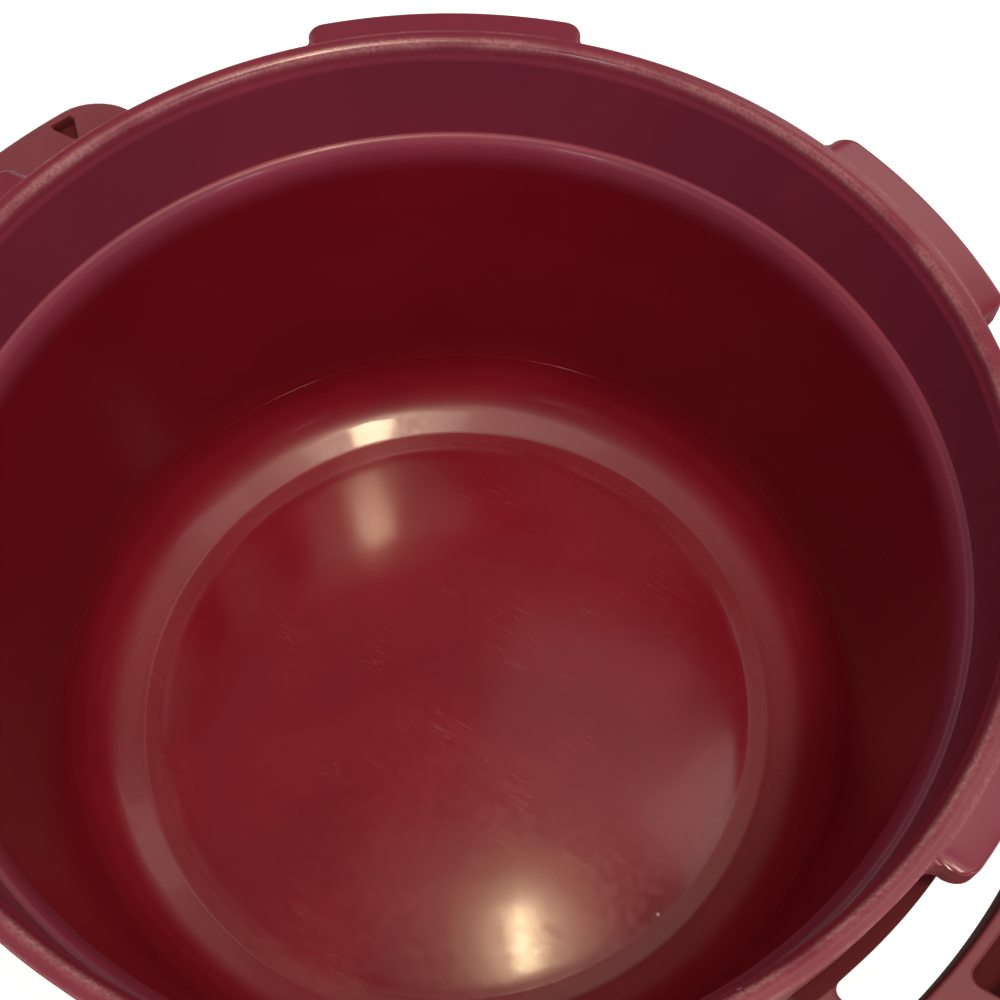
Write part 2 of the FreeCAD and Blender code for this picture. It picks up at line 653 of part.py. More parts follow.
def make_pressure_pin():
    """The indicator pin, its cap and its bush; upside down, the pin has dropped to its raised end."""
    bush = new_body("pin_bush")
    low = f"({WELL_UNDER} - bush_lip)"
    high = f"({WELL} + bush_lip)"
    revolve(bush, [
        ("pin_radius + pin_play", low),
        ("bush_flange", low),
        ("bush_flange", WELL_UNDER),
        ("bush_neck", WELL_UNDER),
        ("bush_neck", WELL),
        ("bush_flange", WELL),
        ("bush_flange", high),
        ("pin_radius + pin_play", high),
    ])
    pin = new_body("pressure_pin")
    foot = f"({low} - pin_play - pin_travel)"
    head = f"({high} + pin_play)"
    foot_height = "pin_foot / 3"
    revolve(pin, [
        ("0", f"{foot} - {foot_height}"),
        ("pin_foot", f"{foot} - {foot_height}"),
        ("pin_foot", foot),
        ("pin_radius", foot),
        ("pin_radius", head),
        ("0", head),
    ])
    cap = new_body("pin_cap")
    revolve(cap, [
        ("0", head),
        ("pin_head", head),
        ("pin_head", f"{head} + pin_head / 2"),
        ("pin_head * 0.7", f"{head} + pin_head * 0.8"),
        ("0", f"{head} + pin_head * 0.8"),
    ])
    park(bush, "90", "valve_offset")
    for part in (pin, cap):
        park(part, "90", "valve_offset", "pin_travel")


def make_safety_plug():
    """The silicone plug that gives way if the vent blocks."""
    body = new_body("safety_plug")
    revolve(body, [
        ("0", f"{WELL_UNDER} - plug_lip"),
        ("plug_flange * 0.8", f"{WELL_UNDER} - plug_lip"),
        ("plug_flange", WELL_UNDER),
        ("plug_neck", WELL_UNDER),
        ("plug_neck", WELL),
        ("plug_flange", WELL),
        ("plug_flange * 0.8", f"{WELL} + plug_lip"),
        ("0", f"{WELL} + plug_lip"),
    ])
    park(body, "270", "valve_offset")


def bend(start, way, end):
    """The middle of the arc that leaves start along a direction and runs to end."""
    line = end - start
    normal = (line - way * line.dot(way)).normalize()
    size = line.dot(line) / (2 * line.dot(normal))
    centre = start + normal * size
    return centre + ((start + end) * 0.5 - centre).normalize() * size


def coil(radius, length, turns, wire):
    """A spring from z = 0 to length: one tube along a helix of two-arc spans, four to the turn."""
    climb = (length - 2 * wire) / (turns * math.tau)
    spans = int(round(turns * 4))

    def point(angle):
        return FreeCAD.Vector(radius * math.cos(angle), radius * math.sin(angle), wire + climb * angle)

    def heading(angle):
        return FreeCAD.Vector(-radius * math.sin(angle), radius * math.cos(angle), climb).normalize()

    angles = [turns * math.tau * k / spans for k in range(spans + 1)]
    edges = []
    for a, b in zip(angles, angles[1:]):
        start, end, out, back = point(a), point(b), heading(a), heading(b)
        chord = end - start
        square = 2 * (1 - out.dot(back))
        across = chord.dot(out + back)
        reach = (math.sqrt(across ** 2 + square * chord.dot(chord)) - across) / square
        joint = (start + end + (out - back) * reach) * 0.5
        edges.append(Part.Arc(start, bend(start, out, joint), joint).toShape())
        edges.append(Part.Arc(joint, bend(end, back * -1, joint), end).toShape())
    section = Part.Wire([Part.Circle(point(0), heading(0), wire).toShape()])
    return Part.Wire(edges).makePipeShell([section], True, False)


def make_latch():
    """The sprung bolt in the left grip, with its cap and knob."""
    bolt = new_body("latch_bolt")
    lift = f"{BOLT_TIP} + {CHAMBER_FLOOR} + bolt_play"
    revolve(bolt, [
        ("0", "0"),
        ("bolt_radius / 2", "0"),
        ("bolt_radius", "bolt_radius / 2"),
        ("bolt_radius", lift),
        ("collar_radius", lift),
        ("collar_radius", f"{lift} + collar_height"),
        ("bolt_stem", f"{lift} + collar_height"),
        ("bolt_stem", f"{BOLT_TIP} + {KNOB_FOOT} + knob_height / 2"),
        ("0", f"{BOLT_TIP} + {KNOB_FOOT} + knob_height / 2"),
    ])
    knob = new_body("latch_knob")
    revolve(knob, [
        ("bolt_stem", KNOB_FOOT),
        ("knob_radius * 0.7", KNOB_FOOT),
        ("knob_radius", f"{KNOB_FOOT} + knob_height / 3"),
        ("knob_radius", f"{KNOB_FOOT} + knob_height * 0.8"),
        ("knob_radius * 0.8", f"{KNOB_FOOT} + knob_height"),
        ("0", f"{KNOB_FOOT} + knob_height"),
        ("0", f"{KNOB_FOOT} + knob_height / 2"),
        ("bolt_stem", f"{KNOB_FOOT} + knob_height / 2"),
    ])
    cap = new_body("latch_cap")
    revolve(cap, [
        ("chamber_radius", EDGE),
        ("chamber_radius + cap_wall", EDGE),
        ("chamber_radius + cap_wall", f"{CAP_TOP} - cap_wall / 2"),
        ("chamber_radius + cap_wall / 2", CAP_TOP),
        ("bolt_stem + bolt_play", CAP_TOP),
        ("bolt_stem + bolt_play", f"{CAP_TOP} - cap_wall"),
        ("chamber_radius", f"{CAP_TOP} - cap_wall"),
    ])
    spring = doc.addObject("Part::Feature", "latch_spring")
    spring.Label = "latch_spring"
    sizes = [value(size) for size in ("spring_radius", SPRING_LENGTH, "spring_turns", "spring_wire")]
    spring.Shape = coil(*sizes)
    parts.append(spring)
    gap = (sizes[1] - 2 * sizes[3]) / sizes[2] - 2 * sizes[3]
    print(f"latch_spring: least gap between turns {gap:.2f} mm")
    park(bolt, "180", LATCH_RADIUS, f"(0 - {BOLT_TIP})")
    park(spring, "180", LATCH_RADIUS, COLLAR_TOP)
    for part in (knob, cap):
        park(part, "180", LATCH_RADIUS)


def write_parts():
    """Writes every sub-part, once all of them are sound."""
    doc.recompute()
    for item in doc.Objects:
        if {"Invalid", "Error"} & set(item.State):
            raise ValueError(f"{item.Label} failed to build: {item.State}")
    for part in parts:
        if part.Shape.isNull() or not part.Shape.isValid():
            raise ValueError(f"{part.Label} has no sound shape")
    os.makedirs("parts", exist_ok=True)
    for part in parts:
        part.Shape.exportStep(os.path.join("parts", f"{part.Label}.step"))
        print(f"{part.Label}: {len(part.Shape.Solids)} solid, {part.Shape.Volume / 1000:.2f} cm3")


make_pot_shell()
make_pot_handles()
make_seal_ring()
make_lid_shell()
make_lid_grip("lid_grip_right", "0", False)
make_lid_grip("lid_grip_left", "180", True)
make_vent()
make_regulator()
make_pressure_pin()
make_safety_plug()
make_latch()
write_parts()
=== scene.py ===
"""Dresses a pressure pot and its turn-lock lid in plastic, silicone and steel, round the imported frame."""

import json
import math

import bmesh
import bpy
import numpy as np
from bpy.props import FloatProperty, FloatVectorProperty, PointerProperty
from bpy.types import Operator, Panel, PropertyGroup
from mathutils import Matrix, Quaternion, Vector


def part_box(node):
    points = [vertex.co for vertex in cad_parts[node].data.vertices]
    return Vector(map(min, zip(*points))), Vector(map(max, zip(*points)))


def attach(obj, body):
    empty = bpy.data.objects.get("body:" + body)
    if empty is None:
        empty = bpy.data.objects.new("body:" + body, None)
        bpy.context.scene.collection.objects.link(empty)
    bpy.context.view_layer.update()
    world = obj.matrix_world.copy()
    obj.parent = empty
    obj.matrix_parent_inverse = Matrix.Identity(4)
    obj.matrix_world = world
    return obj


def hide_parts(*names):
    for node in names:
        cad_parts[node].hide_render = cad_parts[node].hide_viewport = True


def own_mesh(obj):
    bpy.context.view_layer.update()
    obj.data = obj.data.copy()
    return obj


bl_info = {
    "name": "Pressure pot",
    "version": (1, 0, 0),
    "blender": (4, 5, 0),
    "location": "View3D > Sidebar > Pressure pot",
    "description": "Builds the surfaces, finishes and stage of a moulded pressure pot round its fixed frame",
    "category": "Object",
}

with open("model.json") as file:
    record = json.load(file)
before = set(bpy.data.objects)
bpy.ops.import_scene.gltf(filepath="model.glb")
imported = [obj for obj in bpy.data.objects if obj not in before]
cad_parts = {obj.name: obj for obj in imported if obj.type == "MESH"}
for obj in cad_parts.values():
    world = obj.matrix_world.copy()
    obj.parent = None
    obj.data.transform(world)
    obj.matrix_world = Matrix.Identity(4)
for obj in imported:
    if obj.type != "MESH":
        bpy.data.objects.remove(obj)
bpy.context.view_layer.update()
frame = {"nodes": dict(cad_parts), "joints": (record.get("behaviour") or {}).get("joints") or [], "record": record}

# Places and sizes that the frame gives, in metres.
MM = 0.001
BODY_OF = {node: body for body, nodes in frame["record"]["behaviour"]["bodies"].items() for node in nodes}
JOINTS = {joint["name"]: joint for joint in frame["joints"]}
POT_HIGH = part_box("pot_shell")[1]
HANDLE_LOW, HANDLE_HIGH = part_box("pot_handle_right")
LID_LOW, LID_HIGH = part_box("lid_shell")
SEAL_LOW, SEAL_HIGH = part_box("seal_ring")
SKIRT_RADIUS = (LID_HIGH.x - LID_LOW.x) / 2
SEAL_RADIUS = (SEAL_HIGH.x - SEAL_LOW.x) / 2
LID_AXIS = Vector(JOINTS["lid_twist"]["pos_m"])
LOCK_TURN = math.radians(JOINTS["lid_twist"]["range_deg"][1])

# How finely surfaces are divided: sizes first, then columns and points.
ARC_STEP = math.radians(15)
ARC_SIZE = 0.7 * MM
SUPPORT = 0.25 * MM
TINY = 1e-7
SHARP = math.radians(38)
POT_COLUMNS = 260
LID_COLUMNS = 288
TURNED_COLUMNS = 96
LUG_END_POINTS = 8
SHOULDER_POINTS = 16
DOME_POINTS = 24
CORNER_POINTS = 9
SIDE_POINTS = 7
POCKET_POINTS = 33
HANDLE_POINTS = 41
HANDLE_EDGE_POINTS = 7
GRIP_POINTS = 25
GRIP_CORNER_POINTS = 10
NUT_EDGE_POINTS = 7
COIL_POINTS = 48
WIRE_POINTS = 16
BACKDROP_POINTS = 25

# Turn-lock lugs of the pot and of the lid, flats of the vent's nut and holes in its strainer.
LUGS = 6
LUG_STEP = math.tau / LUGS
NUT_STEP = math.tau / 6
SCREEN_HOLES = 6

# Lamps: name, radiance, sides and place in metres, spin in degrees, and colour.
LAMPS = (
    ("ceiling_lamp", 94.0, (0.035, 0.085), (-0.006, 0.126, 1.178), 33.0, (1.0, 0.78, 0.46)),
    ("second_lamp", 140.0, (0.080, 0.100), (0.335, -0.180, 1.180), 33.0, (1.0, 0.76, 0.48)),
    ("ceiling_glow", 0.45, (0.36, 0.34), (-0.030, 0.125, 1.230), 33.0, (1.0, 0.94, 0.86)),
    ("ceiling_panel", 0.55, (0.28, 0.28), (-0.095, 0.470, 1.250), 0.0, (1.0, 0.96, 0.90)),
    ("side_panel", 2.0, (0.20, 0.26), (0.180, 0.470, 1.250), 0.0, (1.0, 0.96, 0.90)),
    ("second_glow", 8.5, (0.34, 0.34), (0.300, -0.190, 1.235), 33.0, (1.0, 0.86, 0.70)),
    ("front_panel", 2.3, (1.05, 0.15), (-0.195, -0.385, 1.230), 0.0, (1.0, 0.92, 0.84)),
    ("back_panel", 2.4, (1.20, 0.30), (0.060, 1.400, 1.230), 40.0, (1.0, 0.92, 0.84)),
    ("right_panel", 1.9, (0.16, 0.80), (0.540, 0.250, 1.230), 0.0, (1.0, 0.92, 0.84)),
    ("ceiling", 0.10, (2.60, 2.60), (0.0, 0.1, 1.70), 0.0, (1.0, 0.97, 0.95)),
    ("softbox_right", 0.74, (1.10, 1.10), (0.747, -0.065, 1.300), 0.0, (0.97, 0.96, 1.0)),
    ("softbox_front", 0.74, (1.10, 1.10), (-0.065, -0.747, 1.300), 0.0, (0.97, 0.96, 1.0)),
    ("window_right", 12.0, (0.22, 0.22), (1.270, -0.487, 0.750), 0.0, (0.94, 0.90, 1.0)),
    ("window_front", 12.0, (0.22, 0.22), (0.071, -1.358, 0.750), 0.0, (0.94, 0.90, 1.0)),
)
# Lamps that only fill the shade and don't show in gloss.
FILLS = ("softbox_right", "softbox_front")
SENSOR_WIDTH = 36.0
WHITE = (1, 1, 1)


# Settings that a user can change.

def length(label, note, millimetres):
    """A length that a user can change, given in millimetres and kept in metres."""
    default = millimetres * MM
    return FloatProperty(name=label, description=note, default=default, min=0.0, precision=5, unit="LENGTH")


def angle(label, note, degrees):
    """An angle that a user can change, given in degrees and kept in radians."""
    default = math.radians(degrees)
    return FloatProperty(name=label, description=note, default=default, min=0.0, unit="ROTATION")


def coordinate(label, note, metres):
    """A coordinate that a user can change, in metres."""
    return FloatProperty(name=label, description=note, default=metres, precision=5, unit="LENGTH")


def number(label, note, default, least=0.0):
    """A plain number, not under the least, that a user can change."""
    return FloatProperty(name=label, description=note, default=default, min=least)


def colour(label, note, shade):
    """A linear colour that a user can change."""
    return FloatVectorProperty(name=label, description=note, default=shade, subtype="COLOR", min=0.0, max=1.0)


class PotSizes(PropertyGroup):
    """Sizes of the pot's shell."""

    rim_radius: length("Rim radius", "Outside of the rim and of the upper band", 101)
    rim_wall: length("Rim wall", "Wall at the foot of the rim's inner slope", 4.2)
    rim_crest: length("Rim crest", "Flat top of the rim, before rounding", 2.8)
    rim_edge: length("Rim edge", "Radius of the rim's outer edge", 0.2)
    crest_round: length("Crest round", "Radius between the rim's top and its inner slope", 2)
    rim_slope: length("Rim slope", "Height of the rim's sloping inner edge", 4)
    slope_round: length("Slope round", "Radius between that slope and the band", 2.5)
    band_taper: length("Band taper", "Inward taper of the upper band", 0.4)
    step_depth: length("Step depth", "From the rim to the inner step", 24.1)
    step_width: length("Step width", "Inward width of the step", 2.9)
    step_fall: length("Step fall", "Height of the step's rounded shoulder", 7)
    step_skirt: length("Step skirt", "Height of the sloping foot of the outer band", 4)
    wall_taper: length("Wall taper", "Inward taper of the lower wall", 7.1)
    wall: length("Wall", "Thickness of the lower wall", 4)
    band_skirt: length("Band skirt", "From the rim to the foot of the outer band", 30)
    floor_thickness: length("Floor thickness", "Thickness of the floor", 4.3)
    floor_round: length("Floor round", "Radius between the wall and the facet at its foot, inside", 16)
    facet_radius: length("Facet radius", "Inside of the narrow facet round the floor", 74)
    facet_round: length("Facet round", "Radius between that facet and the ring inside it", 2.2)
    facet_tilt: angle("Facet tilt", "Slope of the facet", 26.7)
    disc_radius: length("Disc radius", "Raised disc in the floor's middle", 69.3)
    disc_rise: length("Disc rise", "Height of that disc above the ring round it", 0.05)
    disc_edge: length("Disc edge", "Width of the disc's edge", 0.5)
    dome_rise: length("Dome rise", "Rise of the disc from its edge to its middle", 1.43)
    ring_slope: angle("Ring slope", "Slope of the ring between the disc and the facet", 4.5)
    seam_height: length("Seam height", "Height of the faint ring on the inner wall", 20.4)
    seam_step: length("Seam step", "How far that ring stands in from the wall", 0.08)
    base_round: length("Base round", "Radius between wall and base, outside", 20)
    foot_radius: length("Foot radius", "Inside of the foot ring", 58)
    foot_recess: length("Foot recess", "Hollow inside the foot ring", 0.8)
    lug_drop: length("Lug drop", "From the rim to the top of a lug", 0.25)
    lug_thickness: length("Lug thickness", "Height of a lug", 5.75)
    lug_corner: length("Lug corner", "Plan radius of a lug's outer corners", 3.4)
    lug_edge: length("Lug edge", "Radius of a lug's upper and lower edges", 0.7)
    lug_width: angle("Lug width", "Angle that a lug spans", 30)
    short_width: angle("Short width", "Angle that each of the two shorter lugs spans", 26.4)
    far_width: angle("Far width", "Angle that the longest lug spans", 31.2)
    far_shift: angle("Far shift", "Turn of that lug from its even place", 0.6)
    key_width: angle("Key width", "Angle that the narrow lug over the left handle spans", 15)


class HandleSizes(PropertyGroup):
    """Sizes of the pot's two looped handles."""

    pad: length("Pad", "Thickness of the pad against the pot", 2.4)
    gap: length("Gap", "Width of the finger gap", 9.6)
    gap_half: length("Gap half", "Half of the finger gap's length", 44)
    gap_corner: length("Gap corner", "Plan radius of the finger gap's corners", 2.8)
    corner: length("Corner", "Plan radius of the handle's outer corners", 7.3)
    edge: length("Edge", "Radius of the handle's outer edges", 1.4)
    gap_edge: length("Gap edge", "Radius of the edges round the finger gap", 0.9)
    under_edge: length("Under edge", "Radius of the edges under the bar", 5)
    pocket_wall: length("Pocket wall", "Walls beside the pocket in the handle's top", 2.4)
    pocket_floor: length("Pocket floor", "Floor under the pocket", 2.5)
    pocket_edge: length("Pocket edge", "Radius of the pocket's edges", 0.45)
    pocket_half: length("Pocket half", "Half of the right handle's pocket", 32)
    slot_half: length("Slot half", "Half of the left handle's latch slot", 20)
    recess_start: length("Recess start", "Where the left handle's corner recess starts", 35)
    recess_length: length("Recess length", "Length of the corner recess", 5)
    recess_depth: length("Recess depth", "Depth of the corner recess", 2.2)
    recess_inset: length("Recess inset", "Between the corner recess and the line of the pocket", 0.5)


class LidSizes(PropertyGroup):
    """Sizes of the lid's shell, grips and seal."""

    skirt_wall: length("Skirt wall", "Thickness of the skirt", 3)
    lug_reach: length("Lug reach", "How far a lid lug stands in from the skirt", 5.8)
    lug_height: length("Lug height", "Height of a lid lug", 6.5)
    lug_corner: length("Lug corner", "Plan radius of a lid lug's corners", 2.9)
    lug_width: angle("Lug width", "Angle that a lid lug spans", 24)
    land: length("Land", "From the skirt's edge up to the face over the rim", 14.5)
    groove_top: length("Groove top", "From the skirt's edge up to the top of the seal's groove", 18.7)
    groove_play: length("Groove play", "Between the seal and its groove", 0.4)
    rib: length("Rib", "Rib on the inside of the groove", 2.8)
    edge_rise: length("Edge rise", "Height of the skirt above the groove", 0.5)
    edge_slope: length("Edge slope", "Width of the lid's sloping edge", 7)
    wall: length("Wall", "Thickness of the lid", 4)
    dome_rise: length("Dome rise", "Rise from the lid's edge to its middle", 11)
    guard_radius: length("Guard radius", "Outside of the guard ring", 50)
    guard_wall: length("Guard wall", "Thickness of the guard ring", 5)
    soft_edge: length("Soft edge", "Radius of the lid's moulded edges", 0.8)
    seal_width: length("Seal width", "Radial width of the seal", 7.6)
    seal_lip: length("Seal lip", "Depth of the groove between the seal's lips", 1.4)
    seal_edge: length("Seal edge", "Radius of the seal's edges", 0.6)
    grip_half: length("Grip half", "Half of a grip's width", 45)
    grip_lift: length("Grip lift", "From the skirt's edge up to a grip", 0.5)
    grip_corner: length("Grip corner", "Plan radius of a grip's outer corners", 8)
    grip_round: length("Grip round", "Radius of a grip's long edges", 2)


class ValveSizes(PropertyGroup):
    """Sizes of the vent, regulator, pressure pin and safety plug."""

    stem_radius: length("Stem radius", "Vent stem where it passes through the lid", 5)
    stem_bore: length("Stem bore", "Radius of the steam passage", 1.6)
    flange_radius: length("Flange radius", "Radius of the stem's flange", 9)
    flange_height: length("Flange height", "Height of the stem's flange", 2.5)
    flange_level: length("Flange level", "From the stem's foot to its flange", 14)
    neck_radius: length("Neck radius", "Stem above its flange", 4)
    bead_height: length("Bead height", "Height of the bead at the stem's top", 2)
    nut_flats: length("Nut flats", "Across the vent nut's flats", 17)
    nut_chamfer: length("Nut chamfer", "How far the nut's faces are turned down inside its flats", 0.3)
    screen_wall: length("Screen wall", "Wall of the strainer cup", 1.5)
    screen_grip: length("Screen grip", "Length of stem inside the strainer", 4)
    screen_hole: length("Screen hole", "Radius of a hole in the strainer", 1.2)
    weight_play: length("Weight play", "Between the weight and the stem", 0.5)
    weight_roof: length("Weight roof", "Metal above the stem", 3)
    pin_radius: length("Pin radius", "Shaft of the pressure pin", 2.3)
    pin_play: length("Pin play", "Between the pin and its bush", 0.4)
    bush_neck: length("Bush neck", "Radius of the bush in the lid", 4.8)
    bush_lip: length("Bush lip", "Thickness of the bush's flanges", 1.2)
    plug_neck: length("Plug neck", "Radius of the safety plug in the lid", 5)
    plug_lip: length("Plug lip", "Thickness of the plug's flanges", 1.8)
    small_edge: length("Small edge", "Radius of small turned edges", 0.35)


class LatchSizes(PropertyGroup):
    """Sizes of the sprung latch in the left grip."""

    bolt_radius: length("Bolt radius", "Latch bolt", 2.75)
    bolt_play: length("Bolt play", "Between the bolt and what guides it", 0.35)
    collar_height: length("Collar height", "Height of the collar that the spring presses on", 2)
    collar_level: length("Collar level", "From the bolt's tip to its collar", 12.35)
    stem_radius: length("Stem radius", "Upper stem of the bolt", 1.8)
    chamber_radius: length("Chamber radius", "Inside of the latch's chamber", 4.9)
    chamber_floor: length("Chamber floor", "From the skirt's edge up to the chamber's floor", 7)
    cap_wall: length("Cap wall", "Wall of the latch's cap", 1.5)
    spring_radius: length("Spring radius", "Middle of the spring's coil", 3.2)
    spring_wire: length("Spring wire", "Radius of the spring's wire", 0.45)
    spring_turns: number("Spring turns", "Turns of the latch spring", 5.0, least=1.0)


class Finishes(PropertyGroup):
    """Colours of the finishes."""

    maroon: colour("Maroon", "Moulded plastic of the pot", (0.225, 0.0075, 0.0185))
    # Also the colour of painted shade on the pot's inner wall, on the rim's and lugs' tops and in a handle's
    # hollows.
    deep_maroon: colour("Deep maroon", "Darker clouds in that plastic", (0.190, 0.0055, 0.0145))
    handle_maroon: colour("Handle maroon", "Greyer plastic of the handles", (0.200, 0.044, 0.060))
    lid_maroon: colour("Lid maroon", "Moulded plastic of the lid and its grips", (0.212, 0.020, 0.040))
    # A painted sheen: a pale haze mixed into the colour of the matt band inside the rim.
    painted_sheen: colour("Bloom", "Pale haze of the matt band inside the rim", (0.36, 0.19, 0.36))
    # Pale rub colour: wear on edges and in scuffs, and on the rim's crest and the floor's facet also a painted
    # highlight.
    rub_and_highlight: colour("Chafed", "Plastic rubbed pale along its edges", (0.50, 0.235, 0.245))
    speck: colour("Speck", "Small pale nicks", (0.70, 0.52, 0.52))
    silicone: colour("Silicone", "Sealing ring and gasket", (0.60, 0.585, 0.555))
    red_silicone: colour("Red silicone", "Safety plug", (0.42, 0.045, 0.038))
    steel: colour("Steel", "Turned stainless steel", (0.62, 0.61, 0.59))
    dark_plastic: colour("Dark plastic", "Knobs, caps and bush", (0.030, 0.028, 0.030))
    signal_red: colour("Signal red", "Cap of the pressure pin", (0.60, 0.030, 0.022))


class StageSettings(PropertyGroup):
    """The camera, lights and floor."""

    camera_x: coordinate("Camera x", "Camera's place", 0.0709)
    camera_y: coordinate("Camera y", "Camera's place", -0.1022)
    camera_z: coordinate("Camera z", "Camera's place", 0.3182)
    aim_x: coordinate("Aim x", "Point at the rim's height that the camera looks at", 0.0137)
    aim_y: coordinate("Aim y", "Point at the rim's height that the camera looks at", -0.0031)
    lens: number("Lens", "Focal length on a 36 mm sensor, in millimetres", 50.4)
    light: number("Light", "Scales every lamp", 1.0)
    world: number("World", "Strength of the even world", 0.13)
    floor_glow: number("Floor glow", "Floor's own light where it is seen", 0.5)
    floor_reach: length("Floor reach", "From the middle of the floor to the backdrop", 5000)
    floor_corner: length("Floor corner", "Radius between the floor and the backdrop", 1400)
    backdrop: length("Backdrop", "Height of the backdrop round the floor", 2400)
    floor_colour: colour("Floor", "Plain pale floor", (0.80, 0.80, 0.815))


class PressurePot(PropertyGroup):
    """Everything that a user can change."""

    pot: PointerProperty(type=PotSizes)
    handles: PointerProperty(type=HandleSizes)
    lid: PointerProperty(type=LidSizes)
    valves: PointerProperty(type=ValveSizes)
    latch: PointerProperty(type=LatchSizes)
    finish: PointerProperty(type=Finishes)
    stage: PointerProperty(type=StageSettings)


# Lines and grids of points.

def unit(vector):
    """A vector scaled to length 1."""
    return vector / np.linalg.norm(vector)


def quarter(points):
    """Even angles over a quarter turn."""
    return np.linspace(0, math.pi / 2, points)


def rounded(corners, closed=False):
    """Points along the straight runs between (x, y, radius) corners, with a tangent arc at each radius.

    An arc starts and ends radius / tan(half the corner's angle) from the corner, and turns evenly about a
    centre radius / sin(half the angle) along the corner's bisector.
    """
    spots = np.array([corner[:2] for corner in corners], float)
    ends = () if closed else (0, len(corners) - 1)
    line = []
    for i, (here, corner) in enumerate(zip(spots, corners)):
        radius = corner[2] if len(corner) > 2 else 0.0
        if radius == 0.0 or i in ends:
            line.append(here[None])
            continue
        back, ahead = unit(spots[i - 1] - here), unit(spots[(i + 1) % len(spots)] - here)
        half = math.acos(np.clip(back @ ahead, -1.0, 1.0)) / 2
        turn = math.pi - 2 * half
        centre = here + unit(back + ahead) * radius / math.sin(half)
        start = here + back * radius / math.tan(half) - centre
        end = here + ahead * radius / math.tan(half) - centre
        share = np.linspace(0, 1, 2 + int(turn / ARC_STEP) + int(radius * turn / ARC_SIZE))[:, None]
        arc = (start * np.sin((1 - share) * turn) + end * np.sin(share * turn)) / math.sin(turn)
        line.append(centre + arc)
    return np.concatenate(line)


def supported(line, closed=False):
    """Adds a point near both ends of every long run, so that smooth shading keeps the run flat."""
    run = np.roll(line, -1, axis=0) - line
    size = np.linalg.norm(run, axis=1, keepdims=True)
    near = run * np.minimum(SUPPORT / np.maximum(size, TINY), 1 / 3)
    triple = np.stack([line, line + near, line + run - near], axis=1)
    keep = np.repeat(size > 3 * SUPPORT, 3, axis=1)
    keep[:, 0] = True
    if not closed:
        keep[-1, 1:] = False
    return triple[keep]


def lathe(line, columns):
    """Carries (radius, height) points round z: (r cos a, r sin a, h) at every angle a of an even circle."""
    turn = np.linspace(0, math.tau, columns, endpoint=False)
    r = line[:, :1]
    return np.stack([r * np.cos(turn), r * np.sin(turn), line[:, 1:] + 0 * turn], axis=-1)


def lug_end(reach, corner):
    """Offsets along the rim and shares of the reach at a lug's end: a hollow quarter circle, then a full one.

    The hollow one has radius c = reach - corner and its centre at (-c, c); the other has the corner's
    radius k and its centre at (k, c). They meet at offset 0.
    """
    hollow = reach - corner
    swing = quarter(LUG_END_POINTS)
    along = np.concatenate([hollow * (np.sin(swing) - 1), corner * (1 - np.cos(swing[1:]))])
    out = np.concatenate([hollow * (1 - np.cos(swing)), hollow + corner * np.sin(swing[1:])])
    return along, out / reach


def lug_columns(lugs, radius, reach, corner, columns):
    """Angles round the rim, close together at the ends of (middle, half) lugs, and their shares of lug."""
    along, out = lug_end(reach, corner)
    angles, shares = [], []
    for middle, half in lugs:
        start = middle - half + along / radius
        inside = np.linspace(start[-1], 2 * middle - start[-1], 2 + int(half * columns / math.pi))[1:-1]
        angles.append(np.concatenate([start, inside, 2 * middle - start[::-1]]))
        shares.append(np.concatenate([out, np.ones(len(inside)), out[::-1]]))
    for k, last in enumerate([part[-1] for part in angles]):
        gap = (angles[(k + 1) % len(lugs)][0] - last) % math.tau
        between = np.linspace(last, last + gap, 2 + int(gap * columns / math.tau))[1:-1]
        angles.append(between)
        shares.append(np.zeros(len(between)))
    angles, shares = np.concatenate(angles) % math.tau, np.concatenate(shares)
    order = np.argsort(angles)
    return angles[order], shares[order]


def lugged(before, plain, lug, after, angles, shares):
    """A lathe whose middle rows run from a plain wall to a lug's outline: plain + share * (lug - plain)."""
    middle = plain[:, None] + shares[None, :, None] * (lug - plain)[:, None]
    outer = [np.repeat(part[:, None], len(angles), axis=1) for part in (before, after)]
    rows = np.concatenate([outer[0], middle, outer[1]])
    r = rows[..., 0]
    return np.stack([r * np.cos(angles), r * np.sin(angles), rows[..., 1]], axis=-1)


def parked(grid):
    """Turns points of the upright lid into the lid lying upside down beside the pot.

    A point at angle a goes to angle -(a + lock turn) about the lid's axis, and height h to the top less h.
    """
    radius = np.hypot(grid[..., 0], grid[..., 1])
    turn = np.arctan2(grid[..., 1], grid[..., 0]) + LOCK_TURN
    across, along = radius * np.cos(turn), LID_AXIS.y - radius * np.sin(turn)
    return np.stack([LID_AXIS.x + across, along, LID_HIGH.z - grid[..., 2]], axis=-1)


# Meshes and pieces.

def extent(node):
    """The height of a node's box and half of its width."""
    low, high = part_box(node)
    return high.z - low.z, (high.x - low.x) / 2


def settle(mesh):
    """Merges points that meet, turns the faces outwards and shades smoothly between sharp edges."""
    shape = bmesh.new()
    shape.from_mesh(mesh)
    bmesh.ops.remove_doubles(shape, verts=shape.verts, dist=TINY)
    bmesh.ops.dissolve_degenerate(shape, edges=shape.edges, dist=TINY)
    bmesh.ops.recalc_face_normals(shape, faces=shape.faces)
    shape.to_mesh(mesh)
    shape.free()
    mesh.polygons.foreach_set("use_smooth", np.ones(len(mesh.polygons), bool))
    mesh.set_sharp_from_angle(angle=SHARP)
    mesh.update()
    return mesh


def surface(name, grid, ring=False, round_columns=True):
    """A mesh of quads over a grid of points, in which a ring's rows and round columns close up."""
    rows, columns = grid.shape[:2]
    index = np.arange(rows * columns).reshape(rows, columns)
    if ring:
        index = np.concatenate([index, index[:1]])
    if round_columns:
        index = np.concatenate([index, index[:, :1]], axis=1)
    faces = np.stack([index[:-1, :-1], index[:-1, 1:], index[1:, 1:], index[1:, :-1]], axis=-1)
    mesh = bpy.data.meshes.new(name)
    mesh.from_pydata(grid.reshape(-1, 3).tolist(), [], faces.reshape(-1, 4).tolist())
    return settle(mesh)


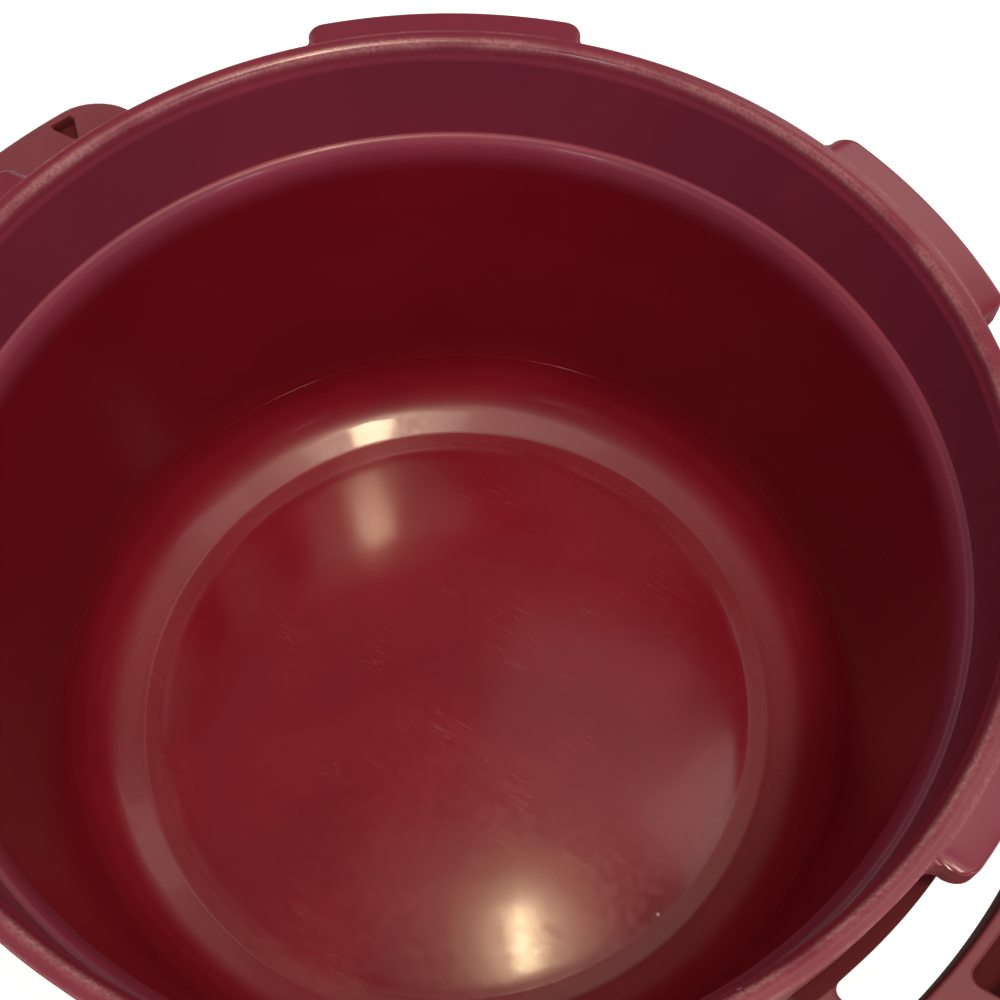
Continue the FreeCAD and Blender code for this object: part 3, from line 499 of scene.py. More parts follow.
def rod(centre, radius, low, high):
    """A closed cylinder, as a cutter."""
    line = np.array([(0, low), (radius, low), (radius, high), (0, high)])
    return surface("bore", lathe(line, TURNED_COLUMNS) + np.array([centre[0], centre[1], 0]))


def bored(mesh, cutters):
    """The mesh with each cutter taken away."""
    link = bpy.context.scene.collection.objects.link
    blank = bpy.data.objects.new("blank", mesh)
    link(blank)
    tools = []
    for cutter in cutters:
        tool = bpy.data.objects.new("cutter", cutter)
        link(tool)
        tools.append(tool)
        bore = blank.modifiers.new("bore", "BOOLEAN")
        bore.operation = "DIFFERENCE"
        bore.solver = "EXACT"
        bore.object = tool
    bpy.context.view_layer.update()
    result = bpy.data.meshes.new_from_object(blank.evaluated_get(bpy.context.evaluated_depsgraph_get()))
    for spare in (blank, *tools):
        bpy.data.objects.remove(spare)
    return settle(result)


def dress(node, mesh, slot):
    """Makes a piece of a mesh: it stands for a node, rides on the node's body and takes a finish."""
    piece = bpy.data.objects.new(f"{node}_skin", mesh)
    bpy.context.scene.collection.objects.link(piece)
    mesh.materials.clear()
    mesh.materials.append(finish(slot))
    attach(piece, BODY_OF[node])
    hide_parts(node)
    return piece


def coat(node, slot):
    """Gives a node of the frame its finish, where its shape is right as it is."""
    for place in frame["nodes"][node].material_slots:
        place.material = finish(slot)


def turned(node, corners, slot, columns=TURNED_COLUMNS, cuts=()):
    """A lid piece turned about its own axis, from (radius, height, rounding) corners above its upright foot.

    It is set upside down on the frame's node: height h is at the top of the node's box, less h.
    """
    low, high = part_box(node)
    closed = corners[0][0] > 0
    grid = lathe(supported(rounded(corners, closed), closed), columns)
    grid = np.array([*(low + high).xy / 2, high.z]) + grid * np.array([1, 1, -1])
    mesh = surface(node, grid, ring=closed)
    return dress(node, bored(mesh, cuts) if cuts else mesh, slot)


# Finishes.

class Wires:
    """Adds nodes to one tree: an input given as a socket is linked, and any other is set."""

    def __init__(self, tree):
        self.tree = tree

    def feed(self, made, inputs):
        """Links or sets inputs of a node."""
        for key, value in inputs.items():
            if isinstance(value, bpy.types.NodeSocket):
                self.tree.links.new(value, made.inputs[key])
            else:
                made.inputs[key].default_value = value
        return made

    def node(self, kind, inputs=None, **settings):
        """A shader node with its settings and inputs."""
        made = self.tree.nodes.new("ShaderNode" + kind)
        for name, value in settings.items():
            setattr(made, name, value)
        return self.feed(made, inputs or {})

    def group(self, name, inputs):
        """A placed node group's outputs."""
        tree = bpy.data.node_groups.get(name) or GROUPS[name]()
        return self.node("Group", inputs, node_tree=tree).outputs

    def math(self, operation, *values):
        """A value worked out from one to three others."""
        return self.node("Math", dict(enumerate(values)), operation=operation).outputs[0]

    def times(self, first, second):
        """A product of two values."""
        return self.math("MULTIPLY", first, second)

    def total(self, start, *parts):
        """A start and, for each (value, share) part, that share of the value on top of it."""
        for value, share in parts:
            start = self.math("MULTIPLY_ADD", value, share, start)
        return start

    def hypotenuse(self, first, second):
        """The square root of the sum of two squares."""
        return self.math("SQRT", self.math("MULTIPLY_ADD", first, first, self.times(second, second)))

    def fade(self, value, start, end):
        """A smooth step from 0 at the start to 1 at the end."""
        inputs = {"Value": value, "From Min": start, "From Max": end}
        return self.node("MapRange", inputs, interpolation_type="SMOOTHSTEP").outputs["Result"]

    def mix(self, share, first, second):
        """A colour between two."""
        return self.node("Mix", {0: share, 6: rgba(first), 7: rgba(second)}, data_type="RGBA").outputs[2]

    def clouds(self, tone, shade, share):
        """A colour that is dimmed to a share of itself where the tone is 0."""
        return self.mix(tone, dimmed(shade, share), shade)

    def layered(self, base, *layers):
        """A colour under (mask, share, colour) layers, each mixed over the last by its share of its mask."""
        for mask, share, shade in layers:
            base = self.mix(self.times(mask, share), base, shade)
        return base

    def coordinates(self):
        """The piece's own coordinates."""
        return self.node("TexCoord").outputs["Object"]

    def split(self, vector):
        """A vector's three parts."""
        return tuple(self.node("SeparateXYZ", {0: vector}).outputs)

    def radius(self, place):
        """The distance of a place from the upright axis."""
        return self.hypotenuse(*self.split(place)[:2])

    def stretch(self, place, scale=(1, 1, 1), turn=(0, 0, 0), shift=(0, 0, 0)):
        """Coordinates shifted, turned and scaled."""
        inputs = {"Vector": place, "Scale": scale, "Rotation": turn, "Location": shift}
        return self.node("Mapping", inputs).outputs[0]

    def noise(self, place, scale, detail):
        """A noise of about 0 to 1, with a scale in features to the metre."""
        return self.node("TexNoise", {"Vector": place, "Scale": scale, "Detail": detail}).outputs[0]

    def patches(self, place, scale, detail, low, high):
        """Soft patches: 0 where a noise is under low and 1 where it is over high."""
        return self.fade(self.noise(place, scale, detail), low, high)

    def bump(self, height, distance):
        """A normal from a height, where the distance is the real height of 1, in metres."""
        return self.node("Bump", {"Height": height, "Distance": distance}).outputs[0]


def rgba(shade):
    """A colour with full alpha, for a node; a socket stays as it is."""
    return shade if isinstance(shade, bpy.types.NodeSocket) else (*shade, 1.0)


def dimmed(shade, share):
    """A share of a colour."""
    return [share * part for part in shade]


def new_material(name):
    """A new material, with its wires and its shader."""
    made = bpy.data.materials.new(name)
    made.use_nodes = True
    return made, Wires(made.node_tree), made.node_tree.nodes["Principled BSDF"]


def new_group(name, inputs, outputs):
    """An empty node group with its sockets: its wires, the inputs' sockets and the output node."""
    tree = bpy.data.node_groups.new(name, "ShaderNodeTree")
    for label, kind in inputs.items():
        tree.interface.new_socket(label, in_out="INPUT", socket_type="NodeSocket" + kind)
    for label in outputs:
        tree.interface.new_socket(label, in_out="OUTPUT", socket_type="NodeSocketFloat")
    return Wires(tree), tree.nodes.new("NodeGroupInput").outputs, tree.nodes.new("NodeGroupOutput")


def moulded_group():
    """Moulded plastic: soft clouds of tone, a fine satin grain and slow waves in the surface."""
    wires, given, out = new_group("moulded", {"Place": "Vector", "Grain": "Float"}, ("Tone", "Grain", "Wave"))
    place = given["Place"]
    wires.feed(out, {
        "Tone": wires.patches(place, scale=28.0, detail=4.0, low=0.32, high=0.68),
        "Grain": wires.noise(place, given["Grain"], detail=3.0),
        "Wave": wires.noise(place, scale=60.0, detail=1.0),
    })
    return wires.tree


def chafe_group():
    """Wear round a circular edge: strongest at a radius and height, broken up by noise along the edge."""
    sockets = {"Place": "Vector", "Radius": "Float", "Height": "Float", "Width": "Float"}
    wires, given, out = new_group("chafe", sockets, ("Mask",))
    place = given["Place"]
    off = wires.math("SUBTRACT", wires.radius(place), given["Radius"])
    drop = wires.math("SUBTRACT", wires.split(place)[2], given["Height"])
    near = wires.fade(wires.math("DIVIDE", wires.hypotenuse(off, drop), given["Width"]), 1.0, 0.0)
    patch = wires.patches(place, scale=70.0, detail=3.0, low=0.22, high=0.66)
    rub = wires.patches(place, scale=1400.0, detail=3.0, low=0.30, high=0.66)
    broken = wires.times(patch, wires.total(0.4, (rub, 0.6)))
    wires.feed(out, {"Mask": wires.times(near, broken)})
    return wires.tree


def speck_group():
    """Small scattered nicks: the middles of a few cells, each of its own size."""
    sockets = {"Place": "Vector", "Scale": "Float", "Share": "Float"}
    wires, given, out = new_group("specks", sockets, ("Mask",))
    cells = wires.node("TexVoronoi", {"Vector": given["Place"], "Scale": given["Scale"]})
    chance = wires.node("SeparateColor", {0: cells.outputs["Color"]}).outputs
    size = wires.total(0.018, (chance[1], 0.025))
    spot = wires.fade(wires.math("DIVIDE", cells.outputs["Distance"], size), 1.0, 0.45)
    chosen = wires.math("LESS_THAN", chance[0], given["Share"])
    wires.feed(out, {"Mask": wires.times(spot, chosen)})
    return wires.tree


def scuff_group():
    """Fine scratches in patches: thin lines where stretched noise crosses its middle, in three directions."""
    wires, given, out = new_group("scuffs", {"Place": "Vector", "Scale": "Float"}, ("Mask",))
    place, thin = given["Place"], 0.012
    marks = []
    for k, turn in enumerate((0.35, 1.45, 2.5)):
        lined = wires.stretch(place, scale=(1.0, 14.0, 1.0), turn=(0, 0, turn), shift=(0.31 * k, 0.17 * k, 0))
        wave = wires.noise(lined, given["Scale"], detail=1.0)
        line = wires.fade(wires.math("ABSOLUTE", wires.math("SUBTRACT", wave, 0.5)), thin, 0.0)
        moved = wires.stretch(place, shift=(k, 0, 0))
        marks.append((line, wires.patches(moved, scale=55.0, detail=2.0, low=0.52, high=0.72)))
    wires.feed(out, {"Mask": wires.math("MINIMUM", wires.total(0.0, *marks), 1.0)})
    return wires.tree


def lathe_marks_group():
    """Marks of turning: fine rings by distance from the axis and by height, and clouds of tone."""
    wires, given, out = new_group("lathe_marks", {"Place": "Vector", "Scale": "Float"}, ("Height", "Tone"))
    place = given["Place"]
    rings = wires.node("CombineXYZ", {0: wires.radius(place), 1: wires.split(place)[2]}).outputs[0]
    wires.feed(out, {
        "Height": wires.noise(rings, given["Scale"], detail=4.0),
        "Tone": wires.patches(place, scale=90.0, detail=3.0, low=0.3, high=0.7),
    })
    return wires.tree


GROUPS = {
    "moulded": moulded_group,
    "chafe": chafe_group,
    "specks": speck_group,
    "scuffs": scuff_group,
    "lathe_marks": lathe_marks_group,
}


def facing(wires, place, radius):
    """How far a surface faces away from the upright axis, and how far it faces up: each -1 to 1."""
    x, y = wires.split(place)[:2]
    across, along, up = wires.split(wires.node("TexCoord").outputs["Normal"])
    out = wires.math("MULTIPLY_ADD", x, across, wires.times(y, along))
    return wires.math("DIVIDE", out, radius), up


def pot_outside(wires, place, radius, pot):
    """A mask of the pot's coarser outside: its outer wall, and the lugs' sides but not their tops."""
    out, up = facing(wires, place, radius)
    beyond = wires.fade(radius, pot.rim_radius - 0.3 * MM, pot.rim_radius + 0.3 * MM)
    side = wires.math("MAXIMUM", wires.fade(out, 0.3, 0.8), beyond)
    return wires.times(side, wires.fade(up, 0.7, 0.2))


def handle_painted_shade(wires, place):
    """A mask of where a handle gets painted shade and a rougher finish: faces towards the pot, sunken floors, and
    the rim's pad.
    """
    settings = bpy.context.scene.pressure_pot
    top, face = HANDLE_HIGH.z, settings.pot.rim_radius + settings.handles.pad
    radius = wires.radius(place)
    out, up = facing(wires, place, radius)
    sunken = wires.fade(wires.split(place)[2], top - 0.8 * MM, top - 1.8 * MM)
    floors = wires.times(wires.fade(up, 0.4, 0.8), sunken)
    inward = wires.fade(out, -0.3, -0.8)
    padded = wires.fade(radius, face + 0.5 * MM, face)
    return wires.math("MAXIMUM", padded, wires.math("MAXIMUM", floors, inward))


def satin_pot(wires, shades, shader):
    """Satin maroon plastic: clouds of tone, a rubbed rim whose crest also carries a painted highlight, a matt band
    with a painted sheen, a matt outside, painted shade on the inner wall and on the rim's and lugs' tops, a pale
    facet ring that is partly a painted highlight, and a scuffed floor.
    """
    pot = bpy.context.scene.pressure_pot.pot
    place = wires.coordinates()
    z = wires.split(place)[2]
    radius = wires.radius(place)
    top, step, seam = POT_HIGH.z, POT_HIGH.z - pot.step_depth, pot.seam_height
    dome, disc, facet = pot.floor_thickness + pot.dome_rise, pot.disc_radius, pot.facet_radius

    def chafe(edge, height, width):
        """Wear round one of the pot's edges; at the rim's crest it is also a painted highlight."""
        return wires.group("chafe", {"Place": place, "Radius": edge, "Height": height, "Width": width})[0]

    skin = wires.group("moulded", {"Place": place, "Grain": 1900.0})
    specks = wires.group("specks", {"Place": place, "Scale": 62.0, "Share": 0.10})[0]
    # The crest's pale rub is partly wear and partly a painted highlight.
    crest_rub_and_highlight = chafe(pot.rim_radius - pot.rim_crest, top - 0.7 * MM, 1.9 * MM)
    edge_rub = chafe(pot.rim_radius, top, 0.7 * MM)
    disc_rub = chafe(disc, pot.floor_thickness, 1.6 * MM)
    rub_and_highlight = wires.total(0.0, (edge_rub, 0.4), (crest_rub_and_highlight, 0.55))

    outside = pot_outside(wires, place, radius, pot)
    inside = wires.math("SUBTRACT", 1.0, outside)
    band = wires.fade(z, step - 9 * MM, step - 2 * MM)
    matt = wires.math("MAXIMUM", outside, band)
    # The rim's top and the lugs' tops: polished smoother, and darkened in colour as painted shade.
    crown = wires.fade(z, top - pot.rim_slope, top - pot.rim_slope / 2)
    # Painted shade: the inner wall from the seam up to the matt band is darkened.
    wall = wires.times(wires.math("SUBTRACT", 1.0, matt), wires.fade(z, seam, seam + 10 * MM))
    low = wires.fade(z, seam, seam - 6 * MM)
    corner = wires.times(wires.fade(radius, disc, disc + 2 * MM), low)
    # A pale grainy ring on the facet: partly rubbed wear, partly a painted highlight along the ring.
    narrow = wires.times(
        wires.fade(radius, facet - 1 * MM, facet + 1.5 * MM),
        wires.fade(radius, facet + 9 * MM, facet + 3 * MM),
    )
    frost_and_highlight = wires.times(wires.times(narrow, low), wires.total(0.02, (skin["Grain"], 0.14)))
    floor = wires.fade(z, dome + 2.6 * MM, dome + 0.4 * MM)
    mottle = wires.times(wires.patches(place, scale=420.0, detail=5.0, low=0.35, high=0.68), floor)
    scuffs = wires.times(wires.group("scuffs", {"Place": place, "Scale": 42.0})[0], floor)

    base = wires.layered(
        wires.mix(skin["Tone"], shades.deep_maroon, shades.maroon),
        # Painted shade on the inner wall.
        (wall, 0.5, dimmed(shades.deep_maroon, 0.7)),
        # Painted sheen: a pale haze on the matt band inside the rim.
        (wires.times(band, inside), 0.12, shades.painted_sheen),
        # Painted shade on the rim's and lugs' tops.
        (crown, 0.3, dimmed(shades.deep_maroon, 0.5)),
        # Pale grainy facet ring, partly a painted highlight, with the disc's rubbed edge.
        (wires.total(frost_and_highlight, (disc_rub, 0.10)), 1.0, shades.rub_and_highlight),
        # Pale rub on the rim's edges: wear, and on the crest also a painted highlight.
        (rub_and_highlight, 1.0, shades.rub_and_highlight),
        (scuffs, 0.10, shades.rub_and_highlight),
        (specks, 0.8, shades.speck),
    )
    rough = wires.total(
        0.12,
        (skin["Tone"], 0.03),
        (corner, 0.16),
        (matt, 0.23),
        (mottle, 0.05),
        (crown, -0.14),
        (rub_and_highlight, 0.12),
        (outside, 0.4),
    )
    height = wires.total(skin["Grain"], (mottle, 0.5), (scuffs, -0.7))
    wires.feed(shader, {
        "Base Color": base,
        "Roughness": rough,
        "Normal": wires.bump(height, 0.006 * MM),
        "Specular IOR Level": 0.42,
        "Coat Weight": wires.times(inside, 0.15),
        "Coat Roughness": 0.06,
    })


def satin_moulding(shade, shift, grain, rough, painted_shade=None):
    """A maker of satin plastic for a handle or the lid: clouds of tone, grain, specks, and in a handle's hollows
    painted shade and a rougher finish.
    """
    def make(wires, shades, shader):
        main = getattr(shades, shade)
        spot = wires.coordinates()
        place = wires.stretch(spot, shift=shift)
        skin = wires.group("moulded", {"Place": place, "Grain": grain})
        specks = wires.group("specks", {"Place": place, "Scale": 80.0, "Share": 0.04})[0]
        scuffs = wires.group("scuffs", {"Place": place, "Scale": 60.0})[0]
        layers = [(scuffs, 0.10, shades.rub_and_highlight), (specks, 0.6, shades.speck)]
        dulling = [(skin["Tone"], 0.08), (scuffs, 0.1)]
        if painted_shade:
            # Painted shade: a handle's hollows, inward faces and pad are darkened, and made rougher.
            hollow = painted_shade(wires, spot)
            layers.append((hollow, 0.9, dimmed(shades.deep_maroon, 0.4)))
            dulling.append((hollow, 0.5))
        height = wires.total(skin["Grain"], (skin["Wave"], 2.0))
        wires.feed(shader, {
            "Base Color": wires.layered(wires.clouds(skin["Tone"], main, 0.84), *layers),
            "Roughness": wires.total(rough, *dulling),
            "Normal": wires.bump(height, 0.014 * MM),
            "Specular IOR Level": 0.32,
        })
    return make


def soft_rubber(shade):
    """A maker of matt silicone: faint clouds of tone, a fine grain and dust specks."""
    def make(wires, shades, shader):
        place = wires.coordinates()
        skin = wires.group("moulded", {"Place": place, "Grain": 2600.0})
        specks = wires.group("specks", {"Place": place, "Scale": 240.0, "Share": 0.06})[0]
        body = wires.clouds(skin["Tone"], getattr(shades, shade), 0.86)
        wires.feed(shader, {
            "Base Color": wires.layered(body, (specks, 0.25, shades.speck)),
            "Roughness": wires.total(0.44, (skin["Tone"], 0.12)),
            "Normal": wires.bump(skin["Grain"], 0.02 * MM),
            "Subsurface Weight": 0.15,
            "Subsurface Scale": 2.0 * MM,
        })
    return make


def turned_steel(wires, shades, shader):
    """Turned stainless steel: fine rings about the lid's axis and faint tarnish."""
    place = wires.stretch(wires.coordinates(), shift=-LID_AXIS)
    marks = wires.group("lathe_marks", {"Place": place, "Scale": 2600.0})
    wires.feed(shader, {
        "Base Color": wires.clouds(marks["Tone"], shades.steel, 0.82),
        "Roughness": wires.total(0.18, (marks["Height"], 0.16)),
        "Normal": wires.bump(marks["Height"], 0.008 * MM),
        "Metallic": 1.0,
    })


# Makers of the finishes, by slot. A shift gives a plastic its own part of the pattern.
FINISHES = {
    "pot_plastic": satin_pot,
    "handle_plastic": satin_moulding(
        "handle_maroon", (0, 0, 0), grain=1700.0, rough=0.36, painted_shade=handle_painted_shade
    ),
    "lid_plastic": satin_moulding("lid_maroon", (0.7, 0.2, 0), grain=1900.0, rough=0.30),
    "silicone": soft_rubber("silicone"),
    "red_silicone": soft_rubber("red_silicone"),
    "steel": turned_steel,
    "dark_plastic": satin_moulding("dark_plastic", (0.1, 0.4, 0), grain=2400.0, rough=0.40),
    "signal_red": satin_moulding("signal_red", (0.3, 0.9, 0), grain=2400.0, rough=0.24),
}


def finish(slot):
    """The material of a slot, made when it is first asked for."""
    name = f"{slot}_finish"
    made = bpy.data.materials.get(name)
    if made is None:
        made, wires, shader = new_material(name)
        FINISHES[slot](wires, bpy.context.scene.pressure_pot.finish, shader)
    return made


# Surfaces of the larger pieces.

def pot_grid(pot):
    """The pot: its half section carried round z, with the rows at the rim's outside running out into lugs.

    The step's shoulder is a quarter ellipse, level at its outer end and upright at its inner end. The disc in
    the floor is a shallow dome: its height at a share s of its radius is rise * (1 - s s).
    """
    top = POT_HIGH.z
    reach = POT_HIGH.x - pot.rim_radius
    band = pot.rim_radius - pot.rim_wall
    shoulder = band - pot.band_taper - pot.step_width
    shoulder_height = top - pot.step_depth - pot.step_fall
    foot = shoulder - pot.wall_taper
    lean = pot.wall_taper / (shoulder_height - pot.floor_thickness)
    seam = foot + lean * (pot.seam_height - pot.floor_thickness)
    ring_height = pot.floor_thickness + (pot.facet_radius - pot.disc_radius) * math.tan(pot.ring_slope)
    steep = math.tan(pot.facet_tilt)
    run = foot - lean * pot.floor_thickness - pot.facet_radius
    corner_height = (ring_height + run * steep) / (1 - lean * steep)
    corner = foot + lean * (corner_height - pot.floor_thickness)
    lug_low = top - pot.lug_drop - pot.lug_thickness
    lug_high = top - pot.lug_drop
    before = rounded([
        (0, pot.foot_recess),
        (pot.foot_radius, pot.foot_recess, pot.foot_recess / 3),
        (pot.foot_radius, 0, pot.foot_recess / 3),
        (foot + pot.wall, 0, pot.base_round),
        (shoulder + pot.wall, top - pot.band_skirt - pot.step_skirt, pot.step_skirt),
        (pot.rim_radius, top - pot.band_skirt, pot.lug_edge),
        (pot.rim_radius, lug_low),
    ])
    outline = rounded([
        (pot.rim_radius, lug_low),
        (pot.rim_radius + reach, lug_low, pot.lug_edge),
        (pot.rim_radius + reach, lug_high, pot.lug_edge),
        (pot.rim_radius, lug_high),
    ])
    rim = rounded([
        (pot.rim_radius, lug_high),
        (pot.rim_radius, top, pot.rim_edge),
        (pot.rim_radius - pot.rim_crest, top, pot.crest_round),
        (band, top - pot.rim_slope, pot.slope_round),
        (band - pot.band_taper, top - pot.step_depth),
    ])
    swing = quarter(SHOULDER_POINTS)[1:-1]
    step = np.stack([
        shoulder + pot.step_width * (1 - np.sin(swing)),
        shoulder_height + pot.step_fall * np.cos(swing),
    ], axis=-1)
    bowl = rounded([
        (shoulder, shoulder_height),
        (seam, pot.seam_height + pot.seam_step, pot.seam_step),
        (seam - pot.seam_step, pot.seam_height, pot.seam_step),
        (corner, corner_height, pot.floor_round),
        (pot.facet_radius, ring_height, pot.facet_round),
        (pot.disc_radius, pot.floor_thickness, pot.disc_rise),
        (pot.disc_radius - pot.disc_edge, pot.floor_thickness + pot.disc_rise),
    ])
    share = np.linspace(1, 0, DOME_POINTS)[1:]
    dome = np.stack([
        share * (pot.disc_radius - pot.disc_edge),
        pot.floor_thickness + pot.disc_rise + pot.dome_rise * (1 - share ** 2),
    ], axis=-1)
    after = np.concatenate([supported(np.concatenate([rim, step, bowl])), dome])
    lug = supported(outline)[1:-1]
    plain = np.linspace((pot.rim_radius, lug_low), (pot.rim_radius, lug_high), len(lug) + 2)[1:-1]
    widths = (pot.short_width, pot.short_width, pot.far_width, pot.key_width, pot.lug_width, pot.lug_width)
    shifts = (0, 0, pot.far_shift, 0, 0, 0)
    lugs = [(k * LUG_STEP + shift, width / 2) for k, (width, shift) in enumerate(zip(widths, shifts))]
    angles, shares = lug_columns(lugs, pot.rim_radius, reach, pot.lug_corner, POT_COLUMNS)
    return lugged(supported(before), plain, lug, after, angles, shares)


def band_loop(inner, outer, half, inner_corner, outer_corner, along):
    """A closed loop in (radius, width): a rectangle with rounded corners, its long sides at shares along."""
    swing = quarter(CORNER_POINTS)[1:-1]
    across = np.linspace(0, 1, SIDE_POINTS)
    wave, fall = np.sin(swing), np.cos(swing)
    near, far = half - inner_corner, half - outer_corner
    low, high = inner + inner_corner, outer - outer_corner
    side = low + across * (high - low)
    radius = [
        0 * along + inner, low - inner_corner * fall, side, high + outer_corner * wave,
        0 * along + outer, high + outer_corner * fall, side[::-1], low - inner_corner * wave,
    ]
    width = [
        along * near, near + inner_corner * wave, 0 * side + half, far + outer_corner * fall,
        along[::-1] * far, -far - outer_corner * wave, 0 * side - half, -near - inner_corner * fall,
    ]
    return np.stack([np.concatenate(radius), np.concatenate(width)], axis=-1)


def standing(spot, height):
    """Points at (radius, width) spots and at a height: (sqrt(r r - w w), w, height)."""
    return np.stack([np.sqrt(spot[..., 0] ** 2 - spot[..., 1] ** 2), spot[..., 1], height], axis=-1)


def hollow_cutter(outline, spine, low, high, flare):
    """A cutter for a hollow: its outline from low to high, flared at the top, and closed along a spine."""
    out = outline - spine
    wide = outline + out * 2 * flare / np.linalg.norm(out, axis=1, keepdims=True)
    spot = np.stack([spine, outline, outline, wide, spine])
    height = np.array([low, low, high - flare, high + flare, high + flare])
    return standing(spot, height[:, None] + 0 * spot[..., 0])


def handle_cutters(handle, rim, left):
    """Grids that cut a handle's top: a long pocket, or a latch slot and two three-cornered recesses."""
    top = HANDLE_HIGH.z
    inner = rim + handle.pad + handle.gap + handle.pocket_wall
    outer = HANDLE_HIGH.x - handle.pocket_wall
    half = handle.slot_half if left else handle.pocket_half
    along = np.linspace(-1, 1, POCKET_POINTS)
    loop = band_loop(inner, outer, half, handle.pocket_wall, handle.pocket_wall, along)
    reach = half - handle.pocket_wall
    spine = np.stack([0 * loop[:, 0] + (inner + outer) / 2, np.clip(loop[:, 1], -reach, reach)], axis=-1)
    cutters = [hollow_cutter(loop, spine, HANDLE_LOW.z + handle.pocket_floor, top, handle.pocket_edge)]
    if left:
        far = handle.recess_start + handle.recess_length
        edge = outer - handle.recess_inset
        soft = handle.pocket_edge
        corners = [(inner, handle.recess_start, soft), (edge, handle.recess_start, soft), (edge, far, soft)]
        loop = supported(rounded(corners, closed=True), closed=True)
        spine = 0 * loop + loop.mean(axis=0)
        for side in (1, -1):
            flip = np.array([1, side])
            cutters.append(hollow_cutter(loop * flip, spine * flip, top - handle.recess_depth, top, soft))
    return cutters


def handle_grid(handle, rim):
    """A looped handle: sections between the finger gap's loop and the outer loop, carried round the gap.

    A section goes up the outer side, across the top, down the gap's wall and back underneath, round each edge
    by a quarter circle: edge * (1 - cos t) across and edge * (1 - sin t) down.
    """
    along = np.linspace(-1, 1, HANDLE_POINTS)
    outer = band_loop(rim, HANDLE_HIGH.x, HANDLE_HIGH.y, TINY, handle.corner, along)
    near = rim + handle.pad
    inner = band_loop(near, near + handle.gap, handle.gap_half, handle.gap_corner, handle.gap_corner, along)
    span = np.linalg.norm(inner - outer, axis=1)
    edge = np.where(outer[:, 0] < rim + SUPPORT, SUPPORT, np.minimum(handle.edge, span / 3))
    gap_edge = np.minimum(handle.gap_edge, span / 3)
    under = np.minimum(handle.under_edge, 0.45 * span)
    top, low = HANDLE_HIGH.z, HANDLE_LOW.z
    swing = quarter(HANDLE_EDGE_POINTS)[:, None]
    short, tall = 1 - np.cos(swing), 1 - np.sin(swing)
    inward = np.concatenate([edge * short, span - gap_edge * tall, span - under * short, under * tall])
    upper = np.concatenate([top - edge * tall, top - gap_edge * short])
    lower = np.concatenate([low + under * tall, low + under * short])
    spot = outer + (inner - outer) * (inward / span)[..., None]
    return standing(spot, np.concatenate([upper, lower]))


def lid_grid(lid, valves):
    """The lid: its half section carried round its axis, with the rows inside the skirt running in to lugs."""
    inner = SKIRT_RADIUS - lid.skirt_wall
    soft = lid.soft_edge
    groove_outer = SEAL_RADIUS + lid.groove_play
    groove_inner = SEAL_RADIUS - lid.seal_width - lid.groove_play
    edge = lid.groove_top + lid.edge_rise
    edge_radius = SKIRT_RADIUS - lid.edge_slope
    crown = lid.groove_top + lid.wall
    well = crown + lid.dome_rise
    guard_inner = lid.guard_radius - lid.guard_wall
    rest = rounded([
        (inner, 0),
        (SKIRT_RADIUS, 0, soft),
        (SKIRT_RADIUS, edge, soft),
        (edge_radius, crown, 4 * soft),
        (lid.guard_radius, well, 4 * soft),
        (lid.guard_radius, LID_HIGH.z, 1.5 * soft),
        (guard_inner, LID_HIGH.z, 1.5 * soft),
        (guard_inner, well, soft),
        (valves.stem_radius, well),
        (valves.stem_radius, well - lid.wall),
        (lid.guard_radius, well - lid.wall, 4 * soft),
        (groove_inner - lid.rib, lid.groove_top + lid.wall / 2, soft),
        (groove_inner - lid.rib, lid.land, soft),
        (groove_inner, lid.land, soft / 2),
        (groove_inner, lid.groove_top, soft / 2),
        (groove_outer, lid.groove_top, soft / 2),
        (groove_outer, lid.land, soft / 2),
        (inner, lid.land, soft),
        (inner, lid.lug_height),
    ])
    outline = rounded([
        (inner, lid.lug_height),
        (inner - lid.lug_reach, lid.lug_height, soft),
        (inner - lid.lug_reach, 0, soft),
        (inner, 0),
    ])
    lug = supported(outline)[1:-1]
    plain = np.linspace((inner, lid.lug_height), (inner, 0), len(lug) + 2)[1:-1]
    lugs = [(k * LUG_STEP, lid.lug_width / 2) for k in range(LUGS)]
    angles, shares = lug_columns(lugs, inner, lid.lug_reach, lid.lug_corner, LID_COLUMNS)
    nothing = np.zeros((0, 2))
    return parked(lugged(supported(rest), plain, lug, nothing, angles, shares))


